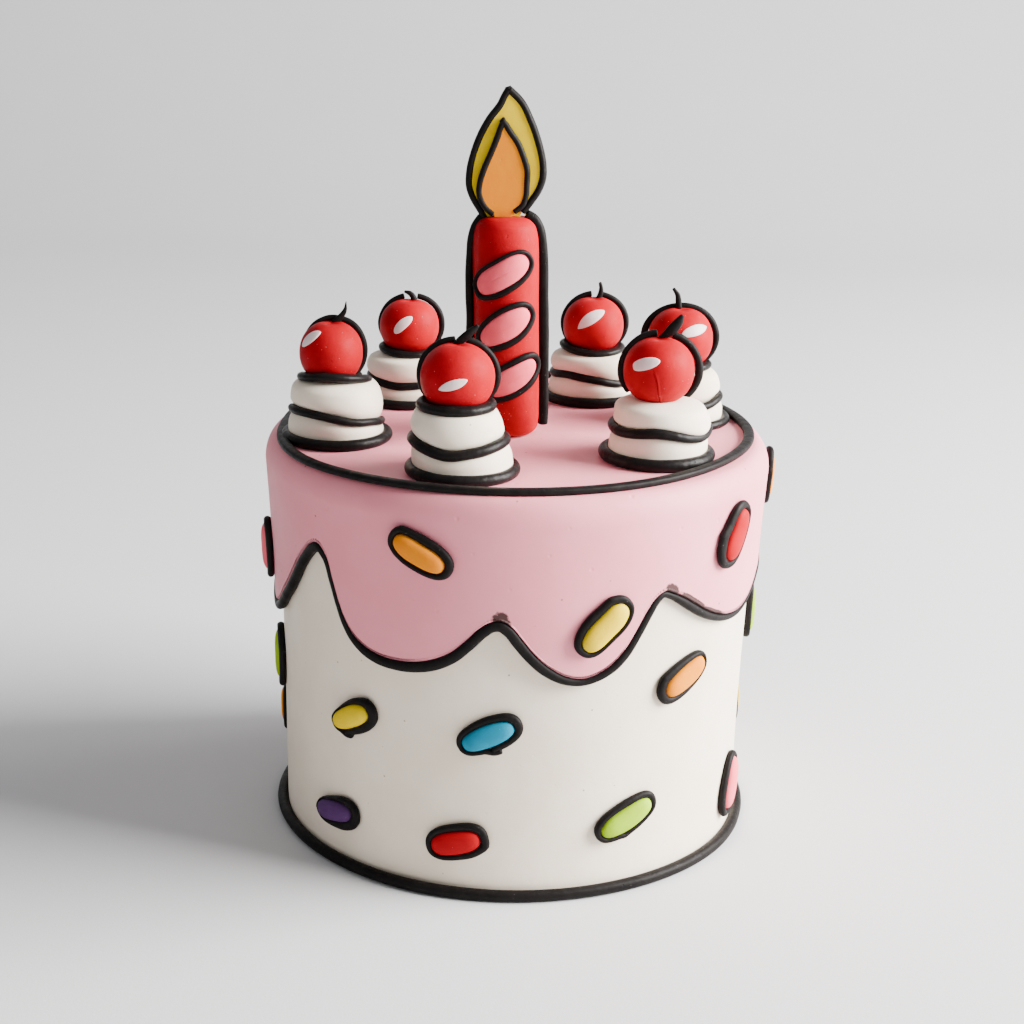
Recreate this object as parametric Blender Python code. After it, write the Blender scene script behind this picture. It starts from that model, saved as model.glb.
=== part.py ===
"""Birthday cake covered in sugar paste, dressed like a drawing with black outlines.

The tall white cake has a pink skin that runs down in drips. Round it lie sprinkles, and on
its top stand six puffs, each with a cherry, and one candle with a flame of coloured paste.
Metres, +Z up, the front towards -Y, the origin at the middle of the cake's underside.
An azimuth is measured in degrees from the front, and grows towards +X.
"""
import math

import bmesh
import bpy
import numpy as np

# Cake
HEIGHT = 0.154
BASE_RADIUS = 0.0904
FLARE = 0.0045              # the wall is this much wider at the full height than at the floor
FLARE_POWER = 2.5
SKIN = 0.0029               # thickness of the pink skin
GAP = 0.0003                # clearance between pieces that touch
SHOULDER_WIDTH = 0.0060     # the skin's rounded top edge, measured inwards
SHOULDER_DROP = 0.0095      # and measured down
BODY_SHOULDER_WIDTH = 0.0045
ROUND_SIDES = 54            # flat sides of everything that goes round the whole cake
WALL_HEIGHTS = (0.0, 0.055, 0.105, HEIGHT - SHOULDER_DROP)
SHOULDER_STEPS = (0.0, 30.0, 60.0, 90.0)
SKIN_BELT = 0.131           # height where the skin's regular part meets the drips
SHARP_ANGLE = 50.0          # edges that bend by more than this many degrees stay sharp

# Outlines
DRIP_ROPE = 0.0018          # radius of the rope along the drips
BASE_ROPE = 0.0022
TOP_ROPE_WIDTH = 0.0038
TOP_ROPE_HEIGHT = 0.0027
TOP_ROPE_RADIUS = 0.0904
TOP_ROPE_SHIFT = 0.0024     # how far the top outline wanders to the left
TOP_ROPE_WAVE = 0.0014
ROPE_SIDES = 5              # flat sides of the ropes that go round the cake
MITRE_LIMIT = 0.55          # a bend's section is widened to no more than 1 over this

# Drips: each row is a peak, then the lobe to its right
# peak azimuth, peak height, lobe azimuth, lobe height, (power, overshoot) of the lobe's two sides
DRIPS = (
    (-104.0, 0.118, -75.0, 0.088, (2.6, 1.15), (1.6, 1.10)),
    (-48.0, 0.126, -22.6, 0.090, (3.3, 1.25), (2.8, 1.10)),
    (-3.5, 0.1073, 14.6, 0.0866, (1.7, 1.10), (2.15, 1.55)),
    (38.0, 0.1153, 66.0, 0.0992, (2.5, 1.15), (2.6, 1.15)),
    (92.0, 0.1120, 112.0, 0.0900, (2.2, 1.20), (2.8, 1.15)),
    (132.0, 0.1180, 152.0, 0.0960, (2.8, 1.20), (2.4, 1.15)),
    (172.0, 0.1090, 193.0, 0.0870, (2.0, 1.15), (3.0, 1.20)),
    (213.0, 0.1220, 234.0, 0.0920, (2.6, 1.20), (2.2, 1.15)),
)
DRIP_STEPS = (0.0, 0.30, 0.54, 0.71, 0.83, 0.91, 0.96)   # along each side of a lobe, to its peak
DRIP_ROUNDING = 0.0015

# Sprinkles: azimuth, height of the middle, tilt in degrees, length of the capsule, colour, on the skin
SPRINKLES = (
    (-19.8, 0.1330, -26.7, 0.0198, "orange", True),
    (55.8, 0.1310, 47.5, 0.0185, "scarlet", True),
    (19.3, 0.1070, 46.6, 0.0190, "yellow", True),
    (-88.0, 0.1090, 88.0, 0.0176, "rose", True),
    (91.0, 0.1370, 88.0, 0.0165, "orange", True),
    (-39.7, 0.0624, 40.0, 0.0175, "yellow", False),
    (-5.0, 0.0653, 30.0, 0.0197, "blue", False),
    (42.8, 0.0799, 19.0, 0.0200, "orange", False),
    (-45.5, 0.0210, -8.0, 0.0172, "purple", False),
    (-12.4, 0.0221, 12.0, 0.0180, "scarlet", False),
    (27.9, 0.0293, 25.0, 0.0190, "lime", False),
    (73.0, 0.0220, 66.0, 0.0195, "rose", False),
    (-88.0, 0.0640, -85.0, 0.0170, "lime", False),
    (-95.0, 0.0335, 88.0, 0.0155, "orange", False),
    (94.0, 0.0840, 86.0, 0.0160, "lime", False),
    (99.0, 0.0394, 78.0, 0.0160, "yellow", False),
    (124.0, 0.1330, -30.0, 0.0190, "yellow", True),
    (158.0, 0.1260, 38.0, 0.0185, "rose", True),
    (190.0, 0.1320, -22.0, 0.0190, "scarlet", True),
    (229.0, 0.1290, 44.0, 0.0185, "lime", True),
    (126.0, 0.0620, 24.0, 0.0185, "blue", False),
    (150.0, 0.0270, -35.0, 0.0185, "scarlet", False),
    (168.0, 0.0680, 48.0, 0.0185, "orange", False),
    (197.0, 0.0290, 15.0, 0.0190, "yellow", False),
    (212.0, 0.0660, -40.0, 0.0180, "purple", False),
    (236.0, 0.0300, 35.0, 0.0185, "rose", False),
    (244.0, 0.0700, 10.0, 0.0180, "blue", False),
)
SPRINKLE_WIDTH = 0.0086
SPRINKLE_ROPE = 0.0025      # width of the outline round a sprinkle
BACK_GAP = 0.0006           # behind a bent piece, so that its flat facets clear the round wall
# inset from the outline's outer edge, height above the wall
SPRINKLE_SECTION = ((0.0006, 0.0), (0.0, 0.0011), (0.0013, 0.0022), (0.0025, 0.0016), (0.0040, 0.0029))
SPRINKLE_TOP = 0.0034

# Puffs: the sizes of the two tiers, the three ropes round them and the cherry on each.
# wave holds the middle rope's rise at the front, at the right, twice round and three times round.
# stem holds the stem's bend and its tip, to the right of and above the cherry's top.
PUFFS = (
    dict(x=-0.0193, y=-0.0635, base=0.0207, low=0.0180, mid=0.0180, mid_z=0.0123, up=0.0165, up_z=0.0175,
         collar=0.0142, collar_z=0.0253, lean=-0.0024, wave=(-0.0010, 0.0, -0.0010, 0.0),
         cherry=0.0130, cherry_z=0.0350, cherry_h=0.0121, stem=((0.0045, 0.0032), (0.0067, 0.0047))),
    dict(x=-0.0674, y=-0.0199, base=0.0209, low=0.0179, mid=0.0182, mid_z=0.0102, up=0.0173, up_z=0.0157,
         collar=0.0140, collar_z=0.0247, lean=-0.0026, wave=(0.0015, -0.0026, 0.0, 0.0),
         cherry=0.0118, cherry_z=0.0334, cherry_h=0.0114, stem=((0.0043, 0.0026), (0.0054, 0.0068))),
    dict(x=-0.0452, y=0.0444, base=0.0205, low=0.0174, mid=0.0170, mid_z=0.0102, up=0.0172, up_z=0.0145,
         collar=0.0123, collar_z=0.0212, lean=0.0002, wave=(-0.0013, 0.0, 0.0, 0.0),
         cherry=0.0120, cherry_z=0.0302, cherry_h=0.0109, stem=((0.0006, 0.0025), (-0.0022, 0.0034))),
    dict(x=0.0297, y=0.0545, base=0.0207, low=0.0175, mid=0.0171, mid_z=0.0103, up=0.0170, up_z=0.0155,
         collar=0.0135, collar_z=0.0216, lean=0.0003, wave=(0.0007, -0.0018, 0.0, 0.0),
         cherry=0.0123, cherry_z=0.0304, cherry_h=0.0112, stem=((0.0025, 0.0026), (0.0024, 0.0052))),
    dict(x=0.0631, y=0.0193, base=0.0207, low=0.0176, mid=0.0175, mid_z=0.0100, up=0.0162, up_z=0.0145,
         collar=0.0130, collar_z=0.0232, lean=-0.0003, wave=(-0.0012, 0.0004, 0.0, 0.0),
         cherry=0.0128, cherry_z=0.0331, cherry_h=0.0119, stem=((-0.0012, 0.0039), (-0.0034, 0.0071))),
    dict(x=0.0508, y=-0.0378, base=0.0215, low=0.0183, mid=0.0192, mid_z=0.0120, up=0.0176, up_z=0.0160,
         collar=None, collar_z=0.0224, lean=0.0004, wave=(0.0006, -0.0006, 0.0, 0.0010),
         cherry=0.0128, cherry_z=0.0330, cherry_h=0.0120, stem=((0.0041, 0.0037), (0.0070, 0.0071))),
)
PUFF_ROPE = 0.0020
PUFF_SIDES = 16
# Rows of a puff's outline from its foot up: the size and the height that the row follows, what is
# added to each, and the row's share of the middle rope's wave
PUFF_ROWS = (
    ("base", -0.0010, "foot", 0.0, 0.0),
    ("base", 0.0, "foot", 0.0020, 0.0),
    ("base", -0.0016, "foot", 0.0040, 0.0),
    ("low", 0.0, "foot", 0.0052, 0.2),
    ("low", -0.0005, "mid_z", -0.0021, 0.8),
    ("mid", 0.0001, "mid_z", -0.0002, 1.0),
    ("up", -0.0006, "mid_z", 0.0020, 0.9),
    ("up", 0.0, "up_z", 0.0006, 0.4),
)
COLLAR_ROWS = (             # the top of a puff that has a third rope under its cherry
    ("collar", 0.0006, "collar_z", -0.0034, 0.0),
    ("collar", -0.0006, "collar_z", -0.0013, 0.0),
    ("collar", 0.0, "collar_z", 0.0, 0.0),
    ("collar", -PUFF_ROPE, "collar_z", PUFF_ROPE, 0.0),
    ("collar", -2.0 * PUFF_ROPE, "collar_z", 0.0, 0.0),
)
BARE_ROWS = (               # the rounded top of the puff without one
    ("up", -0.0012, "collar_z", -0.0034, 0.1),
    ("up", -0.0042, "collar_z", -0.0004, 0.0),
    ("up", -0.0085, "collar_z", 0.0004, 0.0),
)
BARE_LIFT = 0.0005          # the bare top rises this much above its shoulder

# Cherries
CHERRY_SIDES = 14
CHERRY_LATITUDES = (-48.0, -22.0, 5.0, 30.0, 52.0, 72.0)
CHERRY_CUT = 0.96           # the flat underside lies this share of the half height below the middle
CHERRY_DIMPLE = 0.95        # and the dimple's bottom this share above it
CHERRY_SEAT = 0.42          # radius of the puff's flat seat, as a share of the cherry's
CHERRY_FULLNESS = 0.92      # a power below 1 makes the ball squarer
CHERRY_ROPE = 0.0012
CHERRY_ROPE_SETBACK = 0.0045   # the cherry's outline stands this far behind its middle
CHERRY_ROPE_SECTIONS = 16
STEM_ROOT = 0.4             # the stem leaves the outline at this share of its bend's distance
STEM_TAPER = (0.55, 0.35)   # each joint of the stem is this share of the one below

# Candle
CANDLE_X = -0.0042
CANDLE_Y = -0.0055
CANDLE_HEIGHT = 0.0833
CANDLE_LEAN = -0.0021       # how far the top leans to the right; here it leans to the left
CANDLE_RADIUS = 0.0123
CANDLE_SIDES = 20
# the rounded ends as shares of the radius, and heights from the nearer end
CANDLE_FOOT = ((0.64, 0.0), (0.88, 0.0016), (1.0, 0.0055))
CANDLE_DOME = ((1.0, 0.0095), (0.93, 0.0045), (0.70, 0.0014), (0.32, 0.0002))
CANDLE_ROPE_WIDTH = 0.0029
CANDLE_ROPE_DEPTH = 0.0036
CANDLE_ROPE_FOOT = 0.0042   # both ropes end this far above the cake
CANDLE_ROPE_CURL = 0.62     # a power below 1 makes the ropes' bend over the dome squarer
CANDLE_ROPE_ENDS = (("left", -1.0, 0.40), ("right", 1.0, 0.55))   # share of the quarter turn used
# ovals on the candle: azimuth, height above the cake, length, width, tilt
OVALS = (
    (-7.0, 0.0628, 0.0214, 0.0096, 33.0),
    (-1.5, 0.0433, 0.0212, 0.0095, 34.0),
    (13.0, 0.0242, 0.0205, 0.0090, 32.0),
)
OVAL_ROPE = 0.0021
OVAL_SECTION = ((0.0004, 0.0), (0.0, 0.0008), (0.0010, 0.0017), (0.0021, 0.0011), (0.0036, 0.0013))
OVAL_TOP = 0.0015

# Flame: half width, tip, cut foot and full length of the two drops, in the candle's plane
FLAME_X = -0.0066
FLAME_BOW = 0.0008
FLAME_FOOT = 0.2382
OUTER_FLAME = dict(half=0.0148, tip=0.2847, length=0.0515)
OUTER_ROPE_WIDTH = 0.0027
OUTER_ROPE_DEPTH = 0.0048
OUTER_PLATE = 0.0034
INNER_FLAME = dict(half=0.0100, tip=0.2731, length=0.0372)
INNER_ROPE_WIDTH = 0.0023
INNER_ROPE_DEPTH = 0.0024
INNER_PLATE = 0.0021
TEARDROP_POWER = 0.9
TEARDROP_SAMPLES = 400
FLAME_STEPS = 11            # points along each side of a drop

# Paste colours: red, green, blue (linear), roughness
PASTES = {
    "white_paste": (0.77, 0.74, 0.69, 0.55),
    "pink_paste": (0.72, 0.42, 0.47, 0.60),
    "black_paste": (0.022, 0.020, 0.020, 0.50),
    "red_paste": (0.62, 0.012, 0.020, 0.50),
    "rose_paste": (0.86, 0.30, 0.34, 0.60),
    "orange_paste": (0.90, 0.36, 0.03, 0.50),
    "yellow_paste": (0.85, 0.68, 0.01, 0.50),
    "scarlet_paste": (0.70, 0.02, 0.03, 0.50),
    "lime_paste": (0.42, 0.68, 0.04, 0.50),
    "blue_paste": (0.02, 0.42, 0.62, 0.50),
    "purple_paste": (0.12, 0.06, 0.22, 0.50),
}


def clear_scene():
    """Remove every object, so that the script can run again."""
    for item in list(bpy.data.objects):
        bpy.data.objects.remove(item, do_unlink=True)


def paste(name):
    """The sugar paste of this name, made once."""
    if name in bpy.data.materials:
        return bpy.data.materials[name]
    red, green, blue, roughness = PASTES[name]
    material = bpy.data.materials.new(name)
    material.use_nodes = True
    shader = material.node_tree.nodes["Principled BSDF"]
    shader.inputs["Base Color"].default_value = (red, green, blue, 1.0)
    shader.inputs["Roughness"].default_value = roughness
    shader.inputs["Metallic"].default_value = 0.0
    return material


def add_solid(name, mesh_maker, material):
    """A named object whose closed mesh is filled in by mesh_maker(bm)."""
    bm = bmesh.new()
    mesh_maker(bm)
    bmesh.ops.recalc_face_normals(bm, faces=bm.faces)
    if bm.calc_volume(signed=True) < 0.0:
        bmesh.ops.reverse_faces(bm, faces=bm.faces)
    mesh = bpy.data.meshes.new(name)
    bm.to_mesh(mesh)
    bm.free()
    mesh.materials.append(paste(material))
    mesh.shade_smooth()
    mesh.set_sharp_from_angle(angle=math.radians(SHARP_ANGLE))
    item = bpy.data.objects.new(name, mesh)
    bpy.context.scene.collection.objects.link(item)
    return item


def add_ring(bm, points):
    """One vertex for each point, in order."""
    return [bm.verts.new(point) for point in points]


def bridge(bm, first, second, closed=True):
    """Quads between two rings with as many vertices."""
    count = len(first)
    last = count if closed else count - 1
    for index in range(last):
        after = (index + 1) % count
        bm.faces.new((first[index], first[after], second[after], second[index]))


def fan(bm, ring, centre):
    """Triangles from a closed ring to one centre point."""
    hub = bm.verts.new(centre)
    for index in range(len(ring)):
        bm.faces.new((ring[index], ring[(index + 1) % len(ring)], hub))


def zip_rings(bm, fine, fine_angles, coarse, coarse_angles):
    """Triangles between two closed rings of different counts, each given with its rising azimuths."""
    low = 0
    high = 0
    while low < len(fine) or high < len(coarse):
        next_fine = fine_angles[low + 1] if low < len(fine) else math.inf
        next_coarse = coarse_angles[high + 1] if high < len(coarse) else math.inf
        here = fine[low % len(fine)]
        there = coarse[high % len(coarse)]
        if next_fine <= next_coarse:
            bm.faces.new((here, fine[(low + 1) % len(fine)], there))
            low += 1
        else:
            bm.faces.new((here, coarse[(high + 1) % len(coarse)], there))
            high += 1


def round_points(azimuths, radii, heights):
    """Points at these azimuths in degrees, radii and heights."""
    angles = np.radians(azimuths)
    columns = np.broadcast_arrays(radii * np.sin(angles), -radii * np.cos(angles), heights)
    return np.stack(columns, axis=-1)


def wall_radius(height):
    """The white wall's radius: straight facets between the levels of a gently flared curve."""
    levels = np.array(WALL_HEIGHTS)
    curve = BASE_RADIUS + FLARE * (levels / HEIGHT) ** FLARE_POWER
    return np.interp(height, levels, curve)


def shoulder(radius, width, drop):
    """Radii and heights of a quarter ellipse from the wall in to the flat top."""
    angles = np.radians(SHOULDER_STEPS)
    return radius - width * (1.0 - np.cos(angles)), WALL_HEIGHTS[-1] + drop * np.sin(angles)


def top_height(radius):
    """Height of the pink skin at this radius, on the flat top or on the rounded shoulder."""
    flat = wall_radius(WALL_HEIGHTS[-1]) + GAP + SKIN - SHOULDER_WIDTH
    share = np.clip((radius - flat) / SHOULDER_WIDTH, 0.0, 1.0)
    return HEIGHT - SHOULDER_DROP * (1.0 - np.sqrt(1.0 - share ** 2))


def round_azimuths():
    """Azimuths of the cake's flat sides, from the first drip's peak once round."""
    return DRIPS[0][0] + np.arange(ROUND_SIDES + 1) * 360.0 / ROUND_SIDES


def body_solid(bm):
    """The cake: a turned solid from the floor to the underside of the pink skin."""
    azimuths = round_azimuths()[:-1]
    body_drop = SHOULDER_DROP - SKIN - GAP
    edge_radii, edge_heights = shoulder(wall_radius(WALL_HEIGHTS[-1]), BODY_SHOULDER_WIDTH, body_drop)
    radii = np.concatenate((wall_radius(WALL_HEIGHTS[:-1]), edge_radii))
    heights = np.concatenate((WALL_HEIGHTS[:-1], edge_heights))
    rings = [add_ring(bm, round_points(azimuths, radius, height)) for radius, height in zip(radii, heights)]
    for lower, upper in zip(rings, rings[1:]):
        bridge(bm, lower, upper)
    fan(bm, rings[0], (0.0, 0.0, 0.0))
    fan(bm, rings[-1], (0.0, 0.0, heights[-1]))


def soft_rise(share, power, overshoot, height):
    """Rise of a lobe's side: a power curve that would overshoot, held softly at the peak's height."""
    steep = overshoot * height * share ** power
    softened = -DRIP_ROUNDING * np.logaddexp(-steep / DRIP_ROUNDING, -height / DRIP_ROUNDING)
    return softened


def lobe_side(peak, lobe, power, overshoot, shares):
    """Azimuths and heights along one side of a lobe, for shares from 0 at its foot to 1 at the peak."""
    drop = peak[1] - lobe[1]
    whole = soft_rise(np.array([0.0, 1.0]), power, overshoot, drop)
    rise = (soft_rise(shares, power, overshoot, drop) - whole[0]) / (whole[1] - whole[0]) * drop
    return lobe[0] + (peak[0] - lobe[0]) * shares, lobe[1] + rise


def drip_line():
    """Azimuths and heights of the drips' outline once round, from the first peak."""
    shares = np.array(DRIP_STEPS)
    azimuths = []
    heights = []
    for row, after in zip(DRIPS, DRIPS[1:] + ((DRIPS[0][0] + 360.0,) + DRIPS[0][1:],)):
        peak, lobe, next_peak = row[0:2], row[2:4], after[0:2]
        left = lobe_side(peak, lobe, *row[4], np.append(shares[1:], 1.0)[::-1])
        right = lobe_side(next_peak, lobe, *row[5], shares)
        azimuths.extend((left[0], right[0]))
        heights.extend((left[1], right[1]))
    return np.concatenate(azimuths), np.concatenate(heights)


def skin_edge(azimuths, heights):
    """The skin's cut edge: the outline's line moved up, square to itself, by the rope's radius."""
    angles = np.radians(azimuths)
    across = (np.roll(angles, -1) - np.roll(angles, 1)) % (2.0 * math.pi) * wall_radius(heights)
    climb = np.roll(heights, -1) - np.roll(heights, 1)
    length = np.hypot(across, climb)
    offset = DRIP_ROPE + GAP
    moved = azimuths - np.degrees(offset * climb / length / wall_radius(heights))
    return moved, heights + offset * across / length


def skin_solid(bm):
    """The pink skin: over the top, round the shoulder and down to the drips' edge."""
    azimuths = round_azimuths()
    body_drop = SHOULDER_DROP - SKIN
    belt = wall_radius(SKIN_BELT) + GAP
    edge = skin_edge(*drip_line())
    edge_angles = np.append(edge[0], edge[0][0] + 360.0)

    def side(extra, width, drop):
        radii, heights = shoulder(wall_radius(WALL_HEIGHTS[-1]) + GAP + extra, width, drop)
        rings = [add_ring(bm, round_points(azimuths[:-1], belt + extra, SKIN_BELT))]
        for radius, height in zip(radii, heights):
            rings.append(add_ring(bm, round_points(azimuths[:-1], radius, height)))
        for lower, upper in zip(rings, rings[1:]):
            bridge(bm, lower, upper)
        fan(bm, rings[-1], (0.0, 0.0, heights[-1]))
        border = add_ring(bm, round_points(edge[0], wall_radius(edge[1]) + GAP + extra, edge[1]))
        zip_rings(bm, border, edge_angles, rings[0], azimuths)
        return border

    inner = side(0.0, BODY_SHOULDER_WIDTH, body_drop)
    outer = side(SKIN, SHOULDER_WIDTH, SHOULDER_DROP)
    bridge(bm, inner, outer)


def unit(vectors):
    """Vectors scaled to length 1."""
    return vectors / np.linalg.norm(vectors, axis=-1, keepdims=True)


def rope(bm, path, outward, width, depth, sides, closed=False, turn=0.0):
    """A rope along a path: an ellipse of width by depth, depth lying along the outward direction.

    At each bend the section stands in the plane that halves the bend, and is widened to match it.
    """
    path = np.asarray(path)
    if closed:
        before = unit(path - np.roll(path, 1, axis=0))
        after = unit(np.roll(path, -1, axis=0) - path)
    else:
        steps = unit(np.diff(path, axis=0))
        before = np.vstack((steps[:1], steps))
        after = np.vstack((steps, steps[-1:]))
    tangent = unit(before + after)
    outward = np.broadcast_to(outward, path.shape)
    across = unit(np.cross(tangent, outward))
    lift = np.cross(across, tangent)
    stretch = 1.0 / np.clip(np.sum(before * tangent, axis=1), MITRE_LIMIT, 1.0)
    angles = math.radians(turn) + np.arange(sides) * 2.0 * math.pi / sides
    rings = []
    for point, wide, high, scale in zip(path, across, lift, stretch):
        section = [point + wide * math.cos(a) * width / 2.0 * scale + high * math.sin(a) * depth / 2.0
                   for a in angles]
        rings.append(add_ring(bm, section))
    for near, far in zip(rings, rings[1:]):
        bridge(bm, near, far)
    if closed:
        bridge(bm, rings[-1], rings[0])
    else:
        bm.faces.new(rings[0])
        bm.faces.new(rings[-1])
    return rings


def drip_rope(bm):
    """The outline that follows the drips, lying on the white wall."""
    azimuths, heights = drip_line()
    path = round_points(azimuths, wall_radius(heights) + GAP + DRIP_ROPE, heights)
    outward = round_points(azimuths, 1.0, 0.0)
    rope(bm, path, outward, 2.0 * DRIP_ROPE, 2.0 * DRIP_ROPE, ROPE_SIDES, closed=True, turn=90.0)


def top_rope(bm):
    """The flattened outline on the cake's top, which wanders a little to the left."""
    azimuths = round_azimuths()[:-1]
    angles = np.radians(azimuths)
    radii = TOP_ROPE_RADIUS - TOP_ROPE_SHIFT * np.sin(angles) - TOP_ROPE_WAVE * np.sin(2.0 * angles)
    heights = top_height(radii - TOP_ROPE_WIDTH / 2.0) + GAP + TOP_ROPE_HEIGHT / 2.0
    path = round_points(azimuths, radii, heights)
    rope(bm, path, (0.0, 0.0, 1.0), TOP_ROPE_WIDTH, TOP_ROPE_HEIGHT, ROPE_SIDES, closed=True, turn=54.0)


def base_rope(bm):
    """The outline that lies on the floor against the foot of the wall."""
    azimuths = round_azimuths()[:-1]
    radius = BASE_RADIUS + GAP + BASE_ROPE
    path = round_points(azimuths, radius, BASE_ROPE * math.cos(math.pi / ROPE_SIDES))
    rope(bm, path, (0.0, 0.0, 1.0), 2.0 * BASE_ROPE, 2.0 * BASE_ROPE, ROPE_SIDES, closed=True, turn=90.0)


def stadium(length, width, end_points):
    """Points round a shape with straight sides and half round ends, long along the first axis."""
    angles = np.radians(np.linspace(-90.0, 90.0, end_points))
    radius = width / 2.0
    middle = (length - width) / 2.0
    right = np.stack((middle + radius * np.cos(angles), radius * np.sin(angles)), axis=-1)
    return np.concatenate((right, -right))


def capsule_rings(bm, place, length, width, section, end_points):
    """Joined rings of a capsule inside its raised outline. place(u, v, lift) puts a flat point there."""
    rings = []
    for inset, lift in section:
        flat = stadium(length - 2.0 * inset, width - 2.0 * inset, end_points)
        rings.append(add_ring(bm, place(flat[:, 0], flat[:, 1], lift + BACK_GAP)))
    for lower, upper in zip(rings, rings[1:]):
        bridge(bm, lower, upper)
    return rings


def sprinkle_solid(azimuth, height, tilt, length, on_skin):
    """Mesh maker of one sprinkle with its outline, bent round the wall or the skin."""
    turn = math.radians(tilt)
    lift_off = GAP + SKIN if on_skin else 0.0

    def place(u, v, lift):
        right = u * math.cos(turn) - v * math.sin(turn)
        level = height + u * math.sin(turn) + v * math.cos(turn)
        radius = wall_radius(level) + lift_off
        return round_points(azimuth + np.degrees(right / radius), radius + lift, level)

    def maker(bm):
        full_length = length + 2.0 * SPRINKLE_ROPE
        full_width = SPRINKLE_WIDTH + 2.0 * SPRINKLE_ROPE
        rings = capsule_rings(bm, place, full_length, full_width, SPRINKLE_SECTION, 5)
        middle = np.zeros(1)
        fan(bm, rings[0], place(middle, middle, BACK_GAP)[0])
        fan(bm, rings[-1], place(middle, middle, SPRINKLE_TOP + BACK_GAP)[0])
    return maker


def puff_profile(puff):
    """Rows of (radius, height, share of the middle rope's wave) from the puff's foot to its top."""
    sizes = dict(puff, foot=0.0)
    table = PUFF_ROWS + (COLLAR_ROWS if puff["collar"] else BARE_ROWS)
    rows = [(sizes[size] + wider, sizes[level] + higher, share)
            for size, wider, level, higher, share in table]
    return rows + [(CHERRY_SEAT * puff["cherry"], seat_height(puff), 0.0)]


def seat_height(puff):
    """Height, above the puff's foot, of the flat place that the cherry sits on."""
    return puff["cherry_z"] - CHERRY_CUT * puff["cherry_h"] - GAP


def puff_solid(puff):
    """Mesh maker of a puff: two tiers with a rope round the foot, the middle and the top."""
    azimuths = np.arange(PUFF_SIDES) * 360.0 / PUFF_SIDES
    angles = np.radians(azimuths)
    front, right, twice, thrice = puff["wave"]
    wave = (front * np.cos(angles) + right * np.sin(angles)
            + twice * np.cos(2.0 * angles) + thrice * np.cos(3.0 * angles))
    foot = HEIGHT + GAP

    def maker(bm):
        rings = []
        for radius, height, share in puff_profile(puff):
            points = round_points(azimuths, radius, foot + height + share * wave)
            points[:, 0] += puff["x"] + puff["lean"] * min(1.0, height / puff["collar_z"])
            points[:, 1] += puff["y"]
            rings.append(add_ring(bm, points))
        for lower, upper in zip(rings, rings[1:]):
            bridge(bm, lower, upper)
        fan(bm, rings[0], (puff["x"], puff["y"], foot))
        fan(bm, rings[-1], (puff["x"] + puff["lean"], puff["y"], foot + seat_height(puff)))
    return maker


def cherry_solid(puff):
    """Mesh maker of a cherry: a squat ball, flat where it sits, dimpled on top."""
    azimuths = np.arange(CHERRY_SIDES) * 360.0 / CHERRY_SIDES
    latitudes = (-math.degrees(math.asin(CHERRY_CUT)),) + CHERRY_LATITUDES
    middle = HEIGHT + GAP + puff["cherry_z"]

    def maker(bm):
        rings = []
        for latitude in latitudes:
            level = math.radians(latitude)
            points = round_points(azimuths, puff["cherry"] * math.cos(level) ** CHERRY_FULLNESS,
                                  middle + puff["cherry_h"] * math.sin(level))
            points += (puff["x"] + puff["lean"], puff["y"], 0.0)
            rings.append(add_ring(bm, points))
        for lower, upper in zip(rings, rings[1:]):
            bridge(bm, lower, upper)
        axis = (puff["x"] + puff["lean"], puff["y"])
        fan(bm, rings[0], (*axis, middle - CHERRY_CUT * puff["cherry_h"]))
        fan(bm, rings[-1], (*axis, middle + CHERRY_DIMPLE * puff["cherry_h"]))
    return maker


def cherry_outline(puff):
    """Mesh maker of the rope that arches over a cherry from side to side, with the cherry's stem."""
    depth_share = math.sqrt(1.0 - (CHERRY_ROPE_SETBACK / puff["cherry"]) ** 2)
    wide = puff["cherry"] * depth_share + CHERRY_ROPE + 1.5 * GAP
    high = puff["cherry_h"] * depth_share + CHERRY_ROPE + 1.5 * GAP
    rest = puff["collar_z"] + (PUFF_ROPE if puff["collar"] else BARE_LIFT) + GAP + CHERRY_ROPE
    start = math.degrees(math.asin((rest - puff["cherry_z"]) / high))
    centre = np.array((puff["x"] + puff["lean"], puff["y"] + CHERRY_ROPE_SETBACK,
                       HEIGHT + GAP + puff["cherry_z"]))
    angles = np.radians(np.linspace(start, 180.0 - start, CHERRY_ROPE_SECTIONS))
    path = centre + np.stack((wide * np.cos(angles), 0.0 * angles, high * np.sin(angles)), axis=-1)
    outward = np.stack((np.cos(angles), 0.0 * angles, np.sin(angles)), axis=-1)

    def maker(bm):
        rings = rope(bm, path, outward, 2.0 * CHERRY_ROPE, 2.0 * CHERRY_ROPE, 6)
        root_x = centre[0] + puff["stem"][0][0] * STEM_ROOT
        near = int(np.argmin(np.abs((path[:-1, 0] + path[1:, 0]) / 2.0 - root_x)))
        corners = {rings[near][1], rings[near][2], rings[near + 1][1], rings[near + 1][2]}
        face = next(f for f in rings[near][1].link_faces if set(f.verts) == corners)
        top = HEIGHT + GAP + puff["cherry_z"] + puff["cherry_h"]
        for (right, up), shrink in zip(puff["stem"], STEM_TAPER):
            face = bmesh.ops.extrude_discrete_faces(bm, faces=[face])["faces"][0]
            middle = face.calc_center_median()
            target = np.array((centre[0] + right, centre[1], top + up))
            for vert in face.verts:
                vert.co = (target[0] + (vert.co.x - middle.x) * shrink,
                           target[1] + (vert.co.y - middle.y),
                           target[2] + (vert.co.z - middle.z) * shrink)
    return maker


def candle_axis(level):
    """The candle's middle at this height above the cake."""
    return CANDLE_X + CANDLE_LEAN * level / CANDLE_HEIGHT


def candle_rows():
    """Radii and heights of the candle's outline, from its foot to its dome."""
    foot = [(share * CANDLE_RADIUS, level) for share, level in CANDLE_FOOT]
    dome = [(share * CANDLE_RADIUS, CANDLE_HEIGHT - level) for share, level in CANDLE_DOME]
    return foot + dome


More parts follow.
